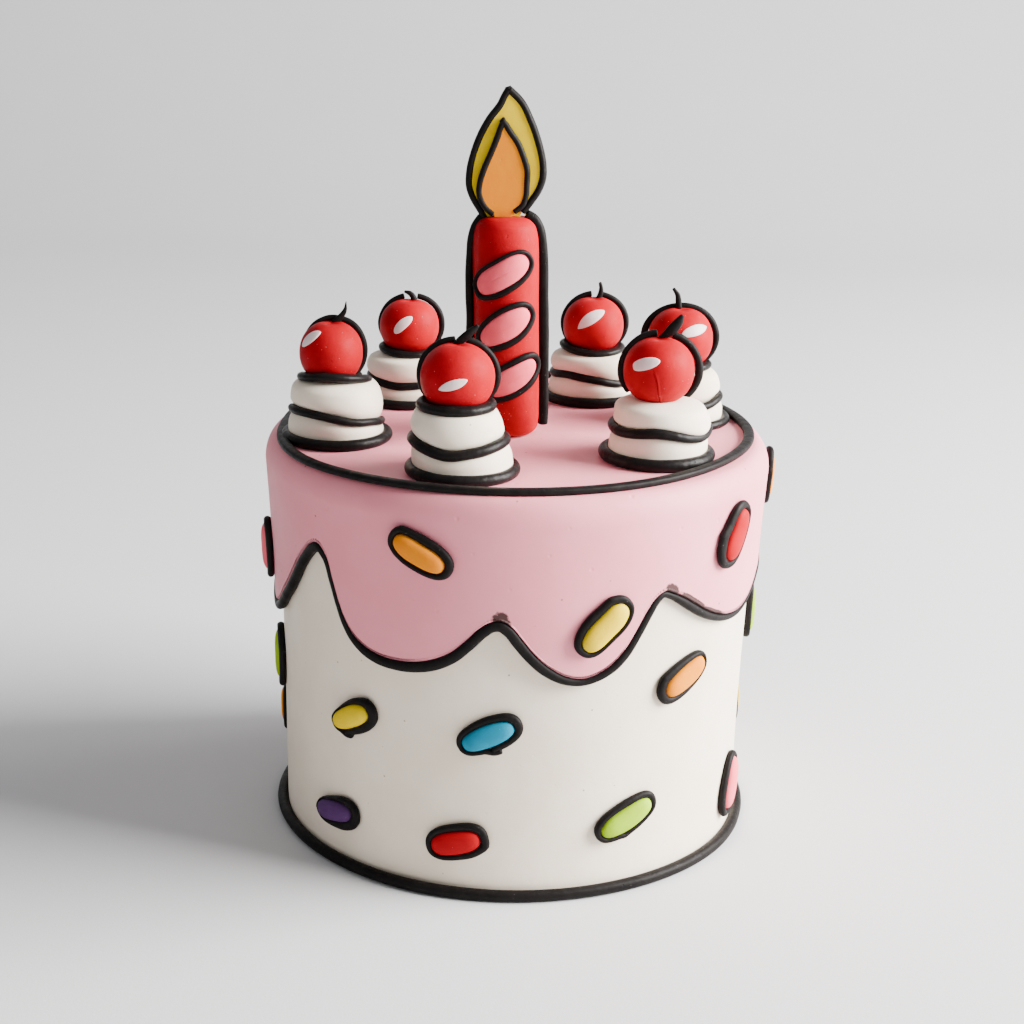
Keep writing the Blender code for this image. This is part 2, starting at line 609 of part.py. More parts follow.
def candle_solid(bm):
    """The red stick: round, leaning slightly, with rounded ends."""
    azimuths = np.arange(CANDLE_SIDES) * 360.0 / CANDLE_SIDES
    foot = HEIGHT + GAP
    rings = []
    for radius, level in candle_rows():
        points = round_points(azimuths, radius, foot + level) + (candle_axis(level), CANDLE_Y, 0.0)
        rings.append(add_ring(bm, points))
    for lower, upper in zip(rings, rings[1:]):
        bridge(bm, lower, upper)
    fan(bm, rings[0], (CANDLE_X, CANDLE_Y, foot))
    fan(bm, rings[-1], (candle_axis(CANDLE_HEIGHT), CANDLE_Y, foot + CANDLE_HEIGHT))


def candle_rope(side, end_share):
    """Mesh maker of the outline along one side of the candle (-1 left, 1 right), to its dome.

    The path keeps one distance from the candle: up the straight side, then round a quarter
    ellipse over the dome's edge, of which end_share is used.
    """
    reach = CANDLE_RADIUS + 1.5 * GAP + CANDLE_ROPE_WIDTH / 2.0
    dome = CANDLE_DOME[0][1]
    bend_start = CANDLE_HEIGHT - dome
    straight = np.linspace(CANDLE_ROPE_FOOT, bend_start, 5)
    angles = np.radians(np.linspace(0.0, 90.0 * end_share, 6)[1:])
    bend_high = dome + GAP + CANDLE_ROPE_WIDTH / 2.0
    away = np.concatenate((np.full(5, reach), reach * np.cos(angles) ** CANDLE_ROPE_CURL))
    level = np.concatenate((straight, bend_start + bend_high * np.sin(angles)))
    path = np.stack((candle_axis(level) + side * away, np.full(len(level), CANDLE_Y),
                     HEIGHT + GAP + level), axis=-1)
    return lambda bm: rope(bm, path, (0.0, -1.0, 0.0), CANDLE_ROPE_WIDTH, CANDLE_ROPE_DEPTH, 6)


def oval_solid(azimuth, level, length, width, tilt):
    """Mesh maker of an oval with its outline, bent round the candle."""
    turn = math.radians(tilt)
    radius = CANDLE_RADIUS + 2.0 * GAP

    def place(u, v, lift):
        right = u * math.cos(turn) - v * math.sin(turn)
        height = level + u * math.sin(turn) + v * math.cos(turn)
        points = round_points(azimuth + np.degrees(right / radius), radius + lift, HEIGHT + GAP + height)
        points[:, 0] += candle_axis(height)
        points[:, 1] += CANDLE_Y
        return points

    def maker(bm):
        full_length = length + 2.0 * OVAL_ROPE
        full_width = width + 2.0 * OVAL_ROPE
        rings = capsule_rings(bm, place, full_length, full_width, OVAL_SECTION, 7)
        half = len(rings[0]) // 2
        spine = np.linspace(0.5, -0.5, 5)[1:-1] * (length - width)
        for ring, lift in ((rings[0], 0.0), (rings[-1], OVAL_TOP)):
            middle = add_ring(bm, place(spine, np.zeros(3), lift + BACK_GAP))
            fan_ends(bm, ring, middle, half)
    return maker


def fan_ends(bm, ring, middle, half):
    """Fill a long closed ring round a spine of three vertices, the first near its right end."""
    first, centre, last = middle
    for index in range(half - 1):
        bm.faces.new((ring[index], ring[index + 1], first))
        bm.faces.new((ring[half + index], ring[half + index + 1], last))
    for near, far, sign in ((half - 1, half, 1), (0, 2 * half - 1, -1)):
        bm.faces.new((ring[near], centre, first)[::sign])
        bm.faces.new((ring[near], ring[far], centre)[::sign])
        bm.faces.new((ring[far], last, centre)[::sign])


def teardrop(half, tip, length, inset):
    """Points up the left of a drop, over its tip and down its right, in the candle's plane.

    With t from 0 at the tip, the half width follows sin t times a power of sin(t / 2), and the
    height falls by half the length times 1 - cos t. This line is moved inwards, square to itself,
    by the inset, and is cut off at the drop's middle and at the flame's foot.
    """
    t = np.linspace(0.001, 0.95 * math.pi, TEARDROP_SAMPLES)
    shape = np.sin(t) * np.sin(t / 2.0) ** TEARDROP_POWER
    away = half * shape / shape.max()
    level = tip - length * (1.0 - np.cos(t)) / 2.0
    run = unit(np.stack((np.gradient(away), np.gradient(level)), axis=-1))
    away = away + inset * run[:, 1]
    level = level - inset * run[:, 0]
    upper = TEARDROP_SAMPLES // 2
    new_tip = np.interp(0.0, away[:upper], level[:upper])
    inside = (away > 0.0) & (level > FLAME_FOOT) & (level < new_tip)
    foot_away = np.interp(-FLAME_FOOT, -level, away)
    away = np.concatenate(([0.0], away[inside], [foot_away]))
    level = np.concatenate(([new_tip], level[inside], [FLAME_FOOT]))
    walked = np.concatenate(([0.0], np.cumsum(np.hypot(np.diff(away), np.diff(level)))))
    stops = np.linspace(0.0, walked[-1], FLAME_STEPS)
    away = np.interp(stops, walked, away)
    level = np.interp(stops, walked, level)
    bow = FLAME_X + FLAME_BOW * np.sin(math.pi * (level - FLAME_FOOT) / (new_tip - FLAME_FOOT))
    left = np.stack((bow - away, level), axis=-1)[::-1]
    right = np.stack((bow + away, level), axis=-1)[1:]
    return np.concatenate((left, right))


def flame_plate(drop, inset, front, thickness):
    """Mesh maker of a flat drop whose front lies at this y."""
    outline = teardrop(drop["half"], drop["tip"], drop["length"], inset)

    def maker(bm):
        corners = [bm.verts.new((x, front, z)) for x, z in outline]
        face = bm.faces.new(corners)
        moved = bmesh.ops.extrude_face_region(bm, geom=[face], use_keep_orig=True)["geom"]
        back = [item for item in moved if isinstance(item, bmesh.types.BMVert)]
        bmesh.ops.translate(bm, verts=back, vec=(0.0, thickness, 0.0))
    return maker


def flame_rope(drop, width, depth, middle):
    """Mesh maker of the rope round a drop, with its centre at this y."""
    outline = teardrop(drop["half"], drop["tip"], drop["length"], width / 2.0)
    path = np.stack((outline[:, 0], np.full(len(outline), middle), outline[:, 1]), axis=-1)
    path[0, 2] += width / 4.0
    path[-1, 2] += width / 4.0
    return lambda bm: rope(bm, path, (0.0, -1.0, 0.0), width, depth, 6)


def build():
    """Every piece of the cake."""
    clear_scene()
    add_solid("cake_body", body_solid, "white_paste")
    add_solid("pink_icing", skin_solid, "pink_paste")
    add_solid("drip_outline", drip_rope, "black_paste")
    add_solid("top_outline", top_rope, "black_paste")
    add_solid("base_outline", base_rope, "black_paste")
    for number, (azimuth, height, tilt, length, colour, on_skin) in enumerate(SPRINKLES, 1):
        maker = sprinkle_solid(azimuth, height, tilt, length, on_skin)
        add_solid(f"sprinkle_{number:02d}", maker, f"{colour}_paste")
    for number, puff in enumerate(PUFFS, 1):
        add_solid(f"puff_{number}", puff_solid(puff), "white_paste")
        add_solid(f"cherry_{number}", cherry_solid(puff), "red_paste")
        add_solid(f"cherry_outline_{number}", cherry_outline(puff), "black_paste")
    add_solid("candle_stick", candle_solid, "red_paste")
    for word, side, end_share in CANDLE_ROPE_ENDS:
        add_solid(f"candle_outline_{word}", candle_rope(side, end_share), "black_paste")
    for number, oval in enumerate(OVALS, 1):
        add_solid(f"candle_oval_{number}", oval_solid(*oval), "rose_paste")
    outer_front = CANDLE_Y - OUTER_PLATE / 2.0
    add_solid("flame_outer", flame_plate(OUTER_FLAME, OUTER_ROPE_WIDTH + 2.0 * GAP, outer_front, OUTER_PLATE),
              "yellow_paste")
    add_solid("flame_outer_outline",
              flame_rope(OUTER_FLAME, OUTER_ROPE_WIDTH, OUTER_ROPE_DEPTH, CANDLE_Y), "black_paste")
    inner_front = outer_front - GAP - INNER_PLATE
    add_solid("flame_inner", flame_plate(INNER_FLAME, INNER_ROPE_WIDTH + 2.0 * GAP, inner_front, INNER_PLATE),
              "orange_paste")
    add_solid("flame_inner_outline",
              flame_rope(INNER_FLAME, INNER_ROPE_WIDTH, INNER_ROPE_DEPTH,
                         outer_front - GAP - INNER_ROPE_DEPTH / 2.0), "black_paste")


build()
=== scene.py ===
"""Looks of a birthday cake covered in sugar paste and dressed like a drawing, with black outlines.

Metres, +Z up, the front towards -Y. An azimuth is measured in degrees from the front and grows
towards +X. Lists of measured sizes are in millimetres, and MM turns them into metres.
"""

import math

import bpy
import numpy as np
from mathutils import Matrix, Vector


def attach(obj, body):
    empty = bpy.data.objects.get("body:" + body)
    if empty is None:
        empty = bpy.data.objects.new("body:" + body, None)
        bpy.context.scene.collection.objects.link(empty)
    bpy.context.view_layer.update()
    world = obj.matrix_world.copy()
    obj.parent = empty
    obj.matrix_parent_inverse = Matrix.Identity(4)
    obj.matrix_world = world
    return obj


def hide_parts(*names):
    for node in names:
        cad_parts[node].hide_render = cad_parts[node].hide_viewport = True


bl_info = {
    "name": "Outlined Birthday Cake",
    "version": (1, 0, 0),
    "blender": (4, 5, 0),
    "location": "3D View > Sidebar > Cake",
    "description": "Builds a sugar-paste birthday cake with black outlines, puffs, cherries and a candle",
    "category": "Add Mesh",
}

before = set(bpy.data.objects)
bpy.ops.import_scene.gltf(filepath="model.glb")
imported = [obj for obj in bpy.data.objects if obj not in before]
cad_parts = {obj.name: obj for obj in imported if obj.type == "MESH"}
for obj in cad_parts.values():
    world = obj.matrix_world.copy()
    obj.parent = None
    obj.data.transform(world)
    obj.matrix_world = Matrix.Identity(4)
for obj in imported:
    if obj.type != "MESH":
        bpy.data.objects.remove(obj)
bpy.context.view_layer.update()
MM = 0.001

# Drips, as in the part: peak azimuth and height, lobe azimuth and height,
# then the (power, overshoot) of the lobe's two sides
DRIPS = (
    (-104.0, 118.0, -75.0, 88.0, (2.6, 1.15), (1.6, 1.10)),
    (-48.0, 126.0, -22.6, 90.0, (3.3, 1.25), (2.8, 1.10)),
    (-3.5, 107.3, 14.6, 86.6, (1.7, 1.10), (2.15, 1.55)),
    (38.0, 115.3, 66.0, 99.2, (2.5, 1.15), (2.6, 1.15)),
    (92.0, 112.0, 112.0, 90.0, (2.2, 1.20), (2.8, 1.15)),
    (132.0, 118.0, 152.0, 96.0, (2.8, 1.20), (2.4, 1.15)),
    (172.0, 109.0, 193.0, 87.0, (2.0, 1.15), (3.0, 1.20)),
    (213.0, 122.0, 234.0, 92.0, (2.6, 1.20), (2.2, 1.15)),
)

# The front of the drips' rope: azimuth, height, thickness
FRONT_DRIPS = (
    (-74.5, 88.6, 3.8), (-70.8, 91.4, 3.8), (-67.0, 96.2, 3.9), (-62.5, 102.6, 4.0), (-58.8, 109.3, 4.0),
    (-55.7, 115.6, 4.0), (-52.9, 120.4, 3.9), (-50.4, 123.8, 3.9), (-48.2, 125.1, 3.6), (-46.1, 122.4, 3.2),
    (-44.0, 114.1, 2.9), (-42.0, 105.5, 2.9), (-40.2, 99.4, 3.1), (-37.8, 94.6, 3.4), (-34.9, 91.4, 3.7),
    (-31.0, 89.2, 3.9), (-26.5, 88.5, 4.0), (-21.2, 89.2, 4.1), (-17.0, 91.1, 4.2), (-13.0, 94.6, 4.1),
    (-9.2, 100.3, 4.0), (-6.2, 105.4, 4.0), (-4.4, 107.4, 4.0), (-2.8, 107.7, 4.1), (-1.3, 106.2, 4.2),
    (1.0, 101.5, 4.2), (3.6, 96.2, 4.0), (7.5, 90.4, 3.8), (11.5, 86.9, 3.3), (15.4, 85.9, 2.9),
    (18.9, 87.2, 3.0), (22.2, 90.2, 3.4), (25.0, 94.7, 3.6), (27.7, 101.6, 3.6), (30.5, 109.7, 3.6),
    (32.1, 113.5, 3.3), (33.8, 115.3, 2.8), (36.2, 114.0, 2.7), (38.6, 111.8, 3.1), (42.5, 107.6, 3.4),
    (46.7, 103.4, 3.3), (51.4, 99.9, 3.0), (56.9, 97.4, 2.8), (61.5, 96.9, 2.8), (66.0, 98.3, 2.9),
    (70.5, 101.0, 3.1), (75.5, 104.6, 3.3),
)

# Sprinkles: azimuth, height, tilt, length, width, colour, on the skin, then the outline: where it
# starts on the way round (0 right end, a quarter top), how far round it goes, how thick it is, and
# how much thicker it is on the right and on the upper side than all round
SPRINKLES = (
    (-19.8, 133.0, -26.7, 18.4, 9.2, "orange", True, 0.42, 1.0, 2.8, 0.4, 0.1),
    (54.8, 131.0, 61.5, 18.5, 10.4, "scarlet", True, 0.30, 1.0, 3.0, -1.7, 0.5),
    (19.3, 107.0, 46.6, 19.4, 9.8, "yellow", True, 0.12, 1.0, 2.7, -0.5, 0.5),
    (-81.5, 109.0, 88.0, 17.6, 9.8, "rose", True, 0.30, 1.0, 2.6, 1.8, 0.0),
    (91.0, 137.0, 88.0, 16.5, 8.6, "orange", True, 0.20, 1.0, 2.5, 0.6, 0.3),
    (-39.7, 62.4, 29.0, 17.4, 8.8, "yellow", False, 0.66, 1.03, 2.4, 1.9, 0.1),
    (-5.0, 65.3, 26.0, 18.2, 9.0, "blue", False, 0.74, 1.03, 2.7, 0.5, 0.6),
    (42.8, 80.2, 26.0, 18.8, 9.6, "orange", False, 0.40, 1.0, 2.6, -1.5, 0.2),
    (-45.8, 21.0, 12.0, 17.8, 8.8, "purple", False, 0.50, 1.0, 2.3, 2.2, -0.3),
    (-12.2, 22.1, 15.0, 17.2, 9.8, "scarlet", False, 0.95, 1.0, 2.8, 0.5, 0.5),
    (27.7, 29.3, 25.0, 20.4, 9.4, "lime", False, 0.70, 1.0, 2.6, -0.1, 0.3),
    (68.5, 22.0, 68.0, 19.5, 10.4, "rose", False, 0.50, 1.0, 2.5, -1.3, 0.3),
    (-81.5, 64.0, -85.0, 18.6, 9.8, "lime", False, 0.30, 1.0, 2.8, 1.8, 0.0),
    (-95.0, 33.5, 88.0, 15.5, 8.6, "orange", False, 0.60, 1.0, 2.5, 0.6, 0.2),
    (87.0, 84.0, 86.0, 17.0, 9.4, "lime", False, 0.10, 1.0, 2.5, -0.6, 0.3),
    (99.0, 39.4, 78.0, 16.0, 8.6, "yellow", False, 0.80, 1.0, 2.5, 0.4, -0.5),
    (124.0, 133.0, -30.0, 19.0, 8.8, "yellow", True, 0.45, 1.0, 2.7, -0.6, 0.3),
    (158.0, 126.0, 38.0, 18.5, 9.0, "rose", True, 0.60, 1.0, 2.6, 0.8, -0.2),
    (190.0, 132.0, -22.0, 19.0, 8.8, "scarlet", True, 0.55, 1.0, 2.6, 0.5, 0.5),
    (229.0, 129.0, 44.0, 18.5, 9.0, "lime", True, 0.30, 1.0, 2.7, -0.9, 0.0),
    (126.0, 62.0, 24.0, 18.5, 8.8, "blue", False, 0.70, 1.03, 2.6, 0.2, 0.6),
    (150.0, 27.0, -35.0, 18.5, 9.0, "scarlet", False, 0.20, 1.0, 2.6, -0.7, -0.4),
    (168.0, 68.0, 48.0, 18.5, 8.8, "orange", False, 0.90, 1.0, 2.5, 0.9, 0.2),
    (197.0, 29.0, 15.0, 19.0, 9.0, "yellow", False, 0.40, 1.0, 2.6, 0.0, -0.7),
    (212.0, 66.0, -40.0, 18.0, 8.8, "purple", False, 0.60, 0.96, 2.8, -1.0, 0.3),
    (236.0, 30.0, 35.0, 18.5, 9.0, "rose", False, 0.80, 1.0, 2.6, 0.7, 0.4),
    (244.0, 70.0, 10.0, 18.0, 8.8, "blue", False, 0.35, 1.0, 2.5, -0.4, 0.6),
)

# Puffs. middle and top are (azimuth, height) pairs of the ropes there; spans are the stretches of
# azimuth that a rope covers and how far in it lies; widths are the thickness of the ropes at the
# foot, middle and top. sway is (height, shift to the right) of the white; lean is the cherry's
# shift. arc is the shift to the right and up of the rope behind the cherry and how much wider and
# higher than the cherry it runs; arc_spans are in degrees round the cherry from its right side over
# the top; stem is a list of (right, above the cherry's top, thickness); shine is the two tips
# (azimuth, elevation), the width, and the bluntness of the near and the far tip.
PUFFS = (
    dict(x=-19.3, y=-63.5, lean=-2.3, sway=((0, 0.0), (4, -0.2), (11, -1.2), (18, -2.3), (25, -2.6)),
         foot=20.7, low=18.0, up=16.5, up_z=17.4, collar=14.3, rest_z=25.3,
         middle_r=18.3, middle=((-73, 13.0), (-44, 11.9), (-24, 10.6), (-9, 10.2), (8, 11.2), (33, 12.0),
                                (54, 12.9), (75, 13.1), (130, 12.6), (180, 12.2), (-125, 12.8)),
         middle_spans=((-104, 256, 0.0),), top=((0, 25.3), (180, 25.3)), top_spans=((-100, 258, 0.0),),
         widths=(4.4, 4.0, 3.9), cherry=13.1, cherry_z=34.8, cherry_h=12.2,
         arc=(0.1, 0.0, 0.1, 0.1), arc_spans=((-48, 76), (97, 226)), arc_width=2.5,
         stem=((-1.9, -1.3, 1.4), (0.6, 0.5, 2.9), (3.8, 3.3, 2.9), (6.6, 5.9, 1.5)),
         shine=((-29.5, -8.0), (18.7, 9.0), 3.3, 0.7, 0.8)),
    dict(x=-68.0, y=-19.9, lean=-2.2, sway=((0, 0.0), (4, -0.6), (11, -0.1), (16, -0.3), (24, -1.0)),
         foot=20.9, low=17.9, up=17.3, up_z=15.6, collar=14.0, rest_z=24.6,
         middle_r=18.3, middle=((-85, 12.2), (-71, 12.7), (-33, 13.1), (-8, 12.3), (11, 11.0), (30, 9.8),
                                (53, 9.3), (90, 7.4), (130, 7.6), (180, 8.6), (-130, 10.6)),
         middle_spans=((-82, 90, 0.0), (122, 252, 0.4)),
         top=((-90, 23.9), (-21, 26.3), (11, 26.2), (45, 25.2), (90, 23.3), (180, 22.9)),
         top_spans=((-86, 88, 0.0), (124, 238, 2.2)), widths=(4.2, 3.1, 3.2), cherry=11.8, cherry_z=33.2,
         cherry_h=11.6, arc=(0.9, 0.0, -0.7, 0.1), arc_spans=((-62, 84), (87, 150)), arc_width=2.4,
         stem=((1.2, -0.6, 2.8), (3.4, 1.6, 2.4), (4.9, 4.0, 1.5), (5.4, 7.2, 0.4)),
         shine=((-61.1, 13.3), (-20.2, 50.9), 4.3, 0.9, 0.8)),
    dict(x=-45.2, y=44.4, lean=0.2, sway=((0, 0.0), (25, 0.2)), foot=20.5, low=17.4, up=17.2, up_z=14.6,
         collar=12.5, rest_z=21.1, middle_r=17.2,
         middle=((-69, 10.3), (-38, 9.5), (-15, 8.6), (12, 9.1), (60, 10.0), (180, 10.4)),
         middle_spans=((-110, 248, 0.0),), top=((-80, 22.0), (0, 20.5), (80, 21.0), (180, 21.6)),
         top_spans=((-120, 238, 0.0),), widths=(3.7, 3.4, 3.0), cherry=12.0, cherry_z=30.3, cherry_h=11.1,
         arc=(0.6, 0.2, 0.0, 0.2), arc_spans=((-48, 77), (106, 228)), arc_width=2.5,
         stem=((1.8, -0.9, 2.6), (1.3, 0.8, 2.5), (0.1, 2.1, 2.1), (-1.9, 2.8, 1.2)),
         shine=((-27.0, -4.5), (10.8, 32.6), 4.1, 0.9, 0.85)),
    dict(x=29.7, y=54.5, lean=0.3, sway=((0, 0.0), (25, 0.1)), foot=20.7, low=17.5, up=17.0, up_z=15.4,
         collar=13.5, rest_z=21.6, middle_r=17.3,
         middle=((-80, 10.8), (-40, 12.4), (-14, 11.6), (9, 10.7), (39, 8.4), (90, 8.6), (180, 10.0)),
         middle_spans=((-115, 243, 0.0),), top=((-80, 22.6), (0, 20.5), (80, 21.4), (180, 21.8)),
         top_spans=((-98, 260, 0.0),), widths=(4.0, 3.3, 3.0), cherry=12.4, cherry_z=30.5, cherry_h=11.4,
         arc=(0.6, 0.1, 0.1, 0.2), arc_spans=((-50, 79), (99, 226)), arc_width=2.5,
         stem=((2.0, -0.2, 2.5), (2.6, 1.6, 2.2), (2.7, 3.6, 1.7), (2.3, 5.7, 1.3)),
         shine=((-35.3, -1.4), (28.1, 42.8), 5.0, 0.6, 0.85)),
    dict(x=63.1, y=19.3, lean=-0.3, sway=((0, 0.0), (25, -0.6)), foot=20.7, low=17.6, up=16.4, up_z=14.4,
         collar=13.0, rest_z=23.1, middle_r=17.7,
         middle=((-60, 11.0), (0, 9.2), (26, 8.8), (37, 8.7), (51, 9.5), (67, 10.6), (110, 10.8),
                 (180, 9.8)),
         middle_spans=((-150, 208, 0.0),), top=((0, 23.1), (180, 23.1)),
         top_spans=((-130, 112, 0.0), (122, 220, 0.0)), widths=(3.4, 3.0, 3.0), cherry=12.8, cherry_z=33.1,
         cherry_h=12.0, arc=(0.2, -0.3, 1.0, -0.2), arc_spans=((-50, 226),), arc_width=2.7,
         stem=((-1.0, 0.0, 2.6), (-1.2, 2.4, 2.4), (-1.6, 4.8, 2.0), (-3.2, 7.2, 1.3)),
         shine=((-4.8, 16.0), (58.0, 29.5), 4.8, 0.9, 0.6)),
    dict(x=50.8, y=-37.8, lean=-0.2, sway=((0, 0.0), (5, 0.6), (11, 1.0), (17, 1.5), (23, 0.2)),
         foot=21.5, low=18.3, up=17.4, up_z=15.8, collar=None, rest_z=22.9, middle_r=19.2,
         middle=((-84, 12.4), (-58, 12.0), (-30, 12.8), (-9, 13.8), (9, 13.2), (34, 11.3), (60, 10.6),
                 (72, 11.7), (110, 12.8), (180, 12.4), (-130, 12.6)),
         middle_spans=((-140, 218, 0.0),), top=(), top_spans=(), widths=(4.7, 3.6, 0.0),
         cherry=12.9, cherry_z=33.0, cherry_h=12.2,
         arc=(1.0, -0.4, 0.8, 0.5), arc_spans=((-58, 72), (99, 217)), arc_width=2.9,
         stem=((-0.6, -1.0, 1.4), (1.7, 0.5, 2.6), (4.5, 2.9, 4.0), (6.6, 5.6, 3.3), (7.7, 7.6, 1.9)),
         shine=((-52.4, 11.6), (-1.0, 28.6), 4.9, 1.4, 0.9)),
)
CHERRY_ROPE_SETBACK = 4.5

# Painted shade on the skin above the drips' edge at some cusps, where the gap between the pink's edge and
# the rope lies in shadow:
# azimuth, reach to the sides in degrees, and how far up it fades, in millimetres
PAINTED_CUSP_SHADES = ((-2.6, 2.2, 3.8), (35.8, 2.0, 3.2), (42.5, 5.0, 1.9), (50.0, 5.0, 1.3))

# Candle: its middle, the rows of its outline (radius, height above the cake), and for each of its two
# ropes the width and the points (x, z)
CANDLE_X = -4.2
CANDLE_Y = -5.5
CANDLE_HEIGHT = 83.3
CANDLE_LEAN = -2.1
CANDLE_ROWS = ((0.0, 0.0), (5.0, 0.05), (9.2, 0.7), (11.3, 2.6), (12.15, 6.0), (12.35, 12.0), (12.35, 25.0),
               (12.45, 40.0), (12.4, 55.0), (12.45, 66.0), (12.4, 72.5), (12.0, 77.0), (11.0, 80.2),
               (9.0, 82.2), (5.6, 83.1), (0.0, 83.3))
CANDLE_ROPES = (
    ("candle_outline_left", 3.2, ((-18.4, 158.8), (-18.8, 170.0), (-19.3, 184.0), (-18.9, 198.0),
                                  (-19.5, 210.0), (-19.4, 222.0), (-18.8, 229.0), (-17.5, 233.4),
                                  (-15.6, 236.3))),
    ("candle_outline_right", 3.9, ((9.4, 158.4), (9.5, 168.0), (9.2, 180.0), (8.9, 194.0), (8.5, 206.0),
                                   (8.0, 220.0), (7.3, 228.0), (6.0, 233.2), (3.9, 236.4), (1.8, 237.6))),
)
CANDLE_ROPE_DEPTH = 3.9
# Ovals: azimuth, height above the cake, length, width, tilt, outline's thickness, and how much thicker
# it is on the right and on the upper side
OVALS = (
    (-7.4, 63.0, 22.4, 9.7, 34.0, 1.9, 0.3, -0.3),
    (-1.8, 43.5, 21.6, 9.5, 35.0, 2.3, 0.3, -0.1),
    (13.0, 24.2, 21.0, 9.0, 34.0, 2.4, 0.4, 0.2),
)

# Flame: points along the outer edge of each outline, from the left foot over the tip to the right foot
OUTER_FLAME = ((-15.3, 235.6), (-17.0, 238.6), (-19.5, 242.6), (-21.3, 247.6), (-21.3, 253.2),
               (-19.9, 260.1), (-17.1, 267.6), (-13.5, 274.0), (-10.3, 278.2), (-8.2, 282.4),
               (-6.5, 284.7), (-3.4, 282.6),
               (-0.5, 279.7), (3.2, 273.0), (6.3, 264.9), (8.3, 256.0), (8.3, 251.3), (6.9, 246.7),
               (4.2, 242.4), (1.2, 238.2))
INNER_FLAME = ((-12.0, 237.4), (-14.3, 239.2), (-16.6, 242.8), (-17.4, 245.6), (-17.1, 249.7),
               (-15.6, 254.9), (-13.1, 260.9), (-10.9, 266.6), (-9.5, 270.8), (-8.0, 273.4),
               (-6.3, 271.6), (-4.2, 268.5),
               (-1.9, 265.4), (0.9, 259.3), (2.3, 254.6), (2.3, 250.0), (1.9, 244.2), (0.8, 241.2),
               (-2.2, 238.4))
FLAME_MIDDLE = (-7.2, 249.0)
FLAME_FOOT = ((1.6, 236.9), (-1.5, 236.0), (-7.0, 235.8), (-12.0, 235.9), (-15.0, 236.3))
SMALL_FLAME_FOOT = ((-2.0, 237.4), (-4.5, 236.9), (-7.5, 236.8), (-10.5, 237.0), (-12.2, 237.4))

# The two drops of the flame. rope_in and plate_in are how far the rope's middle and the plate's edge
# lie inside the outer edge; rope_front and plate_front are how far before the candle's middle they stand
FLAMES = (
    dict(rope="flame_rope", plate="flame_yellow", colour="yellow", rope_node="flame_outer_outline",
         plate_node="flame_outer", edge=OUTER_FLAME, foot=FLAME_FOOT, rope_in=1.4, rope_front=0.0,
         rope_size=(2.9, 4.7), sides=18, square=2.2, plate_in=2.0, plate_front=1.6, thickness=3.4),
    dict(rope="flame_small_rope", plate="flame_orange", colour="orange", rope_node="flame_inner_outline",
         plate_node="flame_inner", edge=INNER_FLAME, foot=SMALL_FLAME_FOOT, rope_in=1.15, rope_front=2.9,
         rope_size=(2.4, 2.6), sides=16, square=2.0, plate_in=1.6, plate_front=3.6, thickness=2.2),
)

TO_FRONT = (0.0, -1.0, 0.0)
TO_SKY = (0.0, 0.0, 1.0)
FULL_TURN = 2.0 * math.pi

# In metres: depth of the ropes round a sprinkle and an oval, and how far the white's shoulder rounds in
SPRINKLE_ROPE_DEPTH = 0.0029
OVAL_ROPE_DEPTH = 0.0023
WHITE_SHOULDER = 0.0045
# The rope round the top, in metres: its mean radius, how far it lies off the middle, how uneven its
# quarters are, and its uneven stretches: azimuth, reach in degrees, and how far out it bulges
TOP_ROPE_RADIUS = 0.0904
TOP_ROPE_SHIFT = 0.0024
TOP_ROPE_OVAL = 0.0014
TOP_ROPE_BULGES = ((270.0, 21.0, -0.0032), (86.0, 20.0, 0.0012))
PILL_SQUARENESS = 2.5
ROUGH_SPREAD = 0.06

# Lights: size, power, colour, place and aim
LIGHTS = (
    ("window_right", 1.1, 190.0, (1.0, 0.98, 0.95), (1.42, -0.14, 0.80), (0.0, 0.0, 0.12)),
    ("back_right", 1.4, 55.0, (1.0, 1.0, 1.0), (2.2, 0.9, 1.5), (0.6, 1.9, 0.2)),
)
AIR_COLOUR = (0.97, 0.98, 1.0, 1.0)
AIR_STRENGTH = 0.45

# Camera, fitted to the photograph: where it stands, how it is turned in degrees, and its focal length
# in pixels of a picture this wide
CAMERA_PLACE = (0.0, -0.7056, 0.33936)
CAMERA_YAW = -0.1355
CAMERA_PITCH = 17.255
CAMERA_ROLL = 1.238
FOCAL_PIXELS = 1880.0
PICTURE_PIXELS = 1024.0
SENSOR_WIDTH = 36.0


def length_property(name, description, default):
    """A length that the user can change."""
    return bpy.props.FloatProperty(name=name, description=description, default=default, unit="LENGTH")


def colour_property(name, description, default):
    """A colour that the user can change."""
    return bpy.props.FloatVectorProperty(name=name, description=description, subtype="COLOR", size=3,
                                         min=0.0, max=1.0, default=default)


class CakeSizes(bpy.types.PropertyGroup):
    """Sizes of the cake and of its outlines."""
    height: length_property("Height", "Height of the cake's flat top", 0.154)
    base_radius: length_property("Base Radius", "Radius of the white wall at the floor", 0.0904)
    flare: length_property("Flare", "How much wider the wall is at its full height", 0.0045)
    skin: length_property("Skin Thickness", "Thickness of the pink skin", 0.0030)
    shoulder_width: length_property("Shoulder Width", "Rounded top edge, measured inwards", 0.0060)
    shoulder_drop: length_property("Shoulder Drop", "Rounded top edge, measured down", 0.0095)
    drip_rope: length_property("Drip Outline", "Thickness of the rope along the drips", 0.0036)
    base_rope: length_property("Foot Outline", "Thickness of the rope round the foot", 0.0044)
    top_rope_width: length_property("Top Outline Width", "Width of the flat rope on the top", 0.0040)
    top_rope_height: length_property("Top Outline Height", "Height of that rope", 0.0027)
    sprinkle_top: length_property("Sprinkle Height", "How far a sprinkle stands off the wall", 0.0034)
    unevenness: length_property("Unevenness", "Largest hand-made swell of the walls", 0.00035)


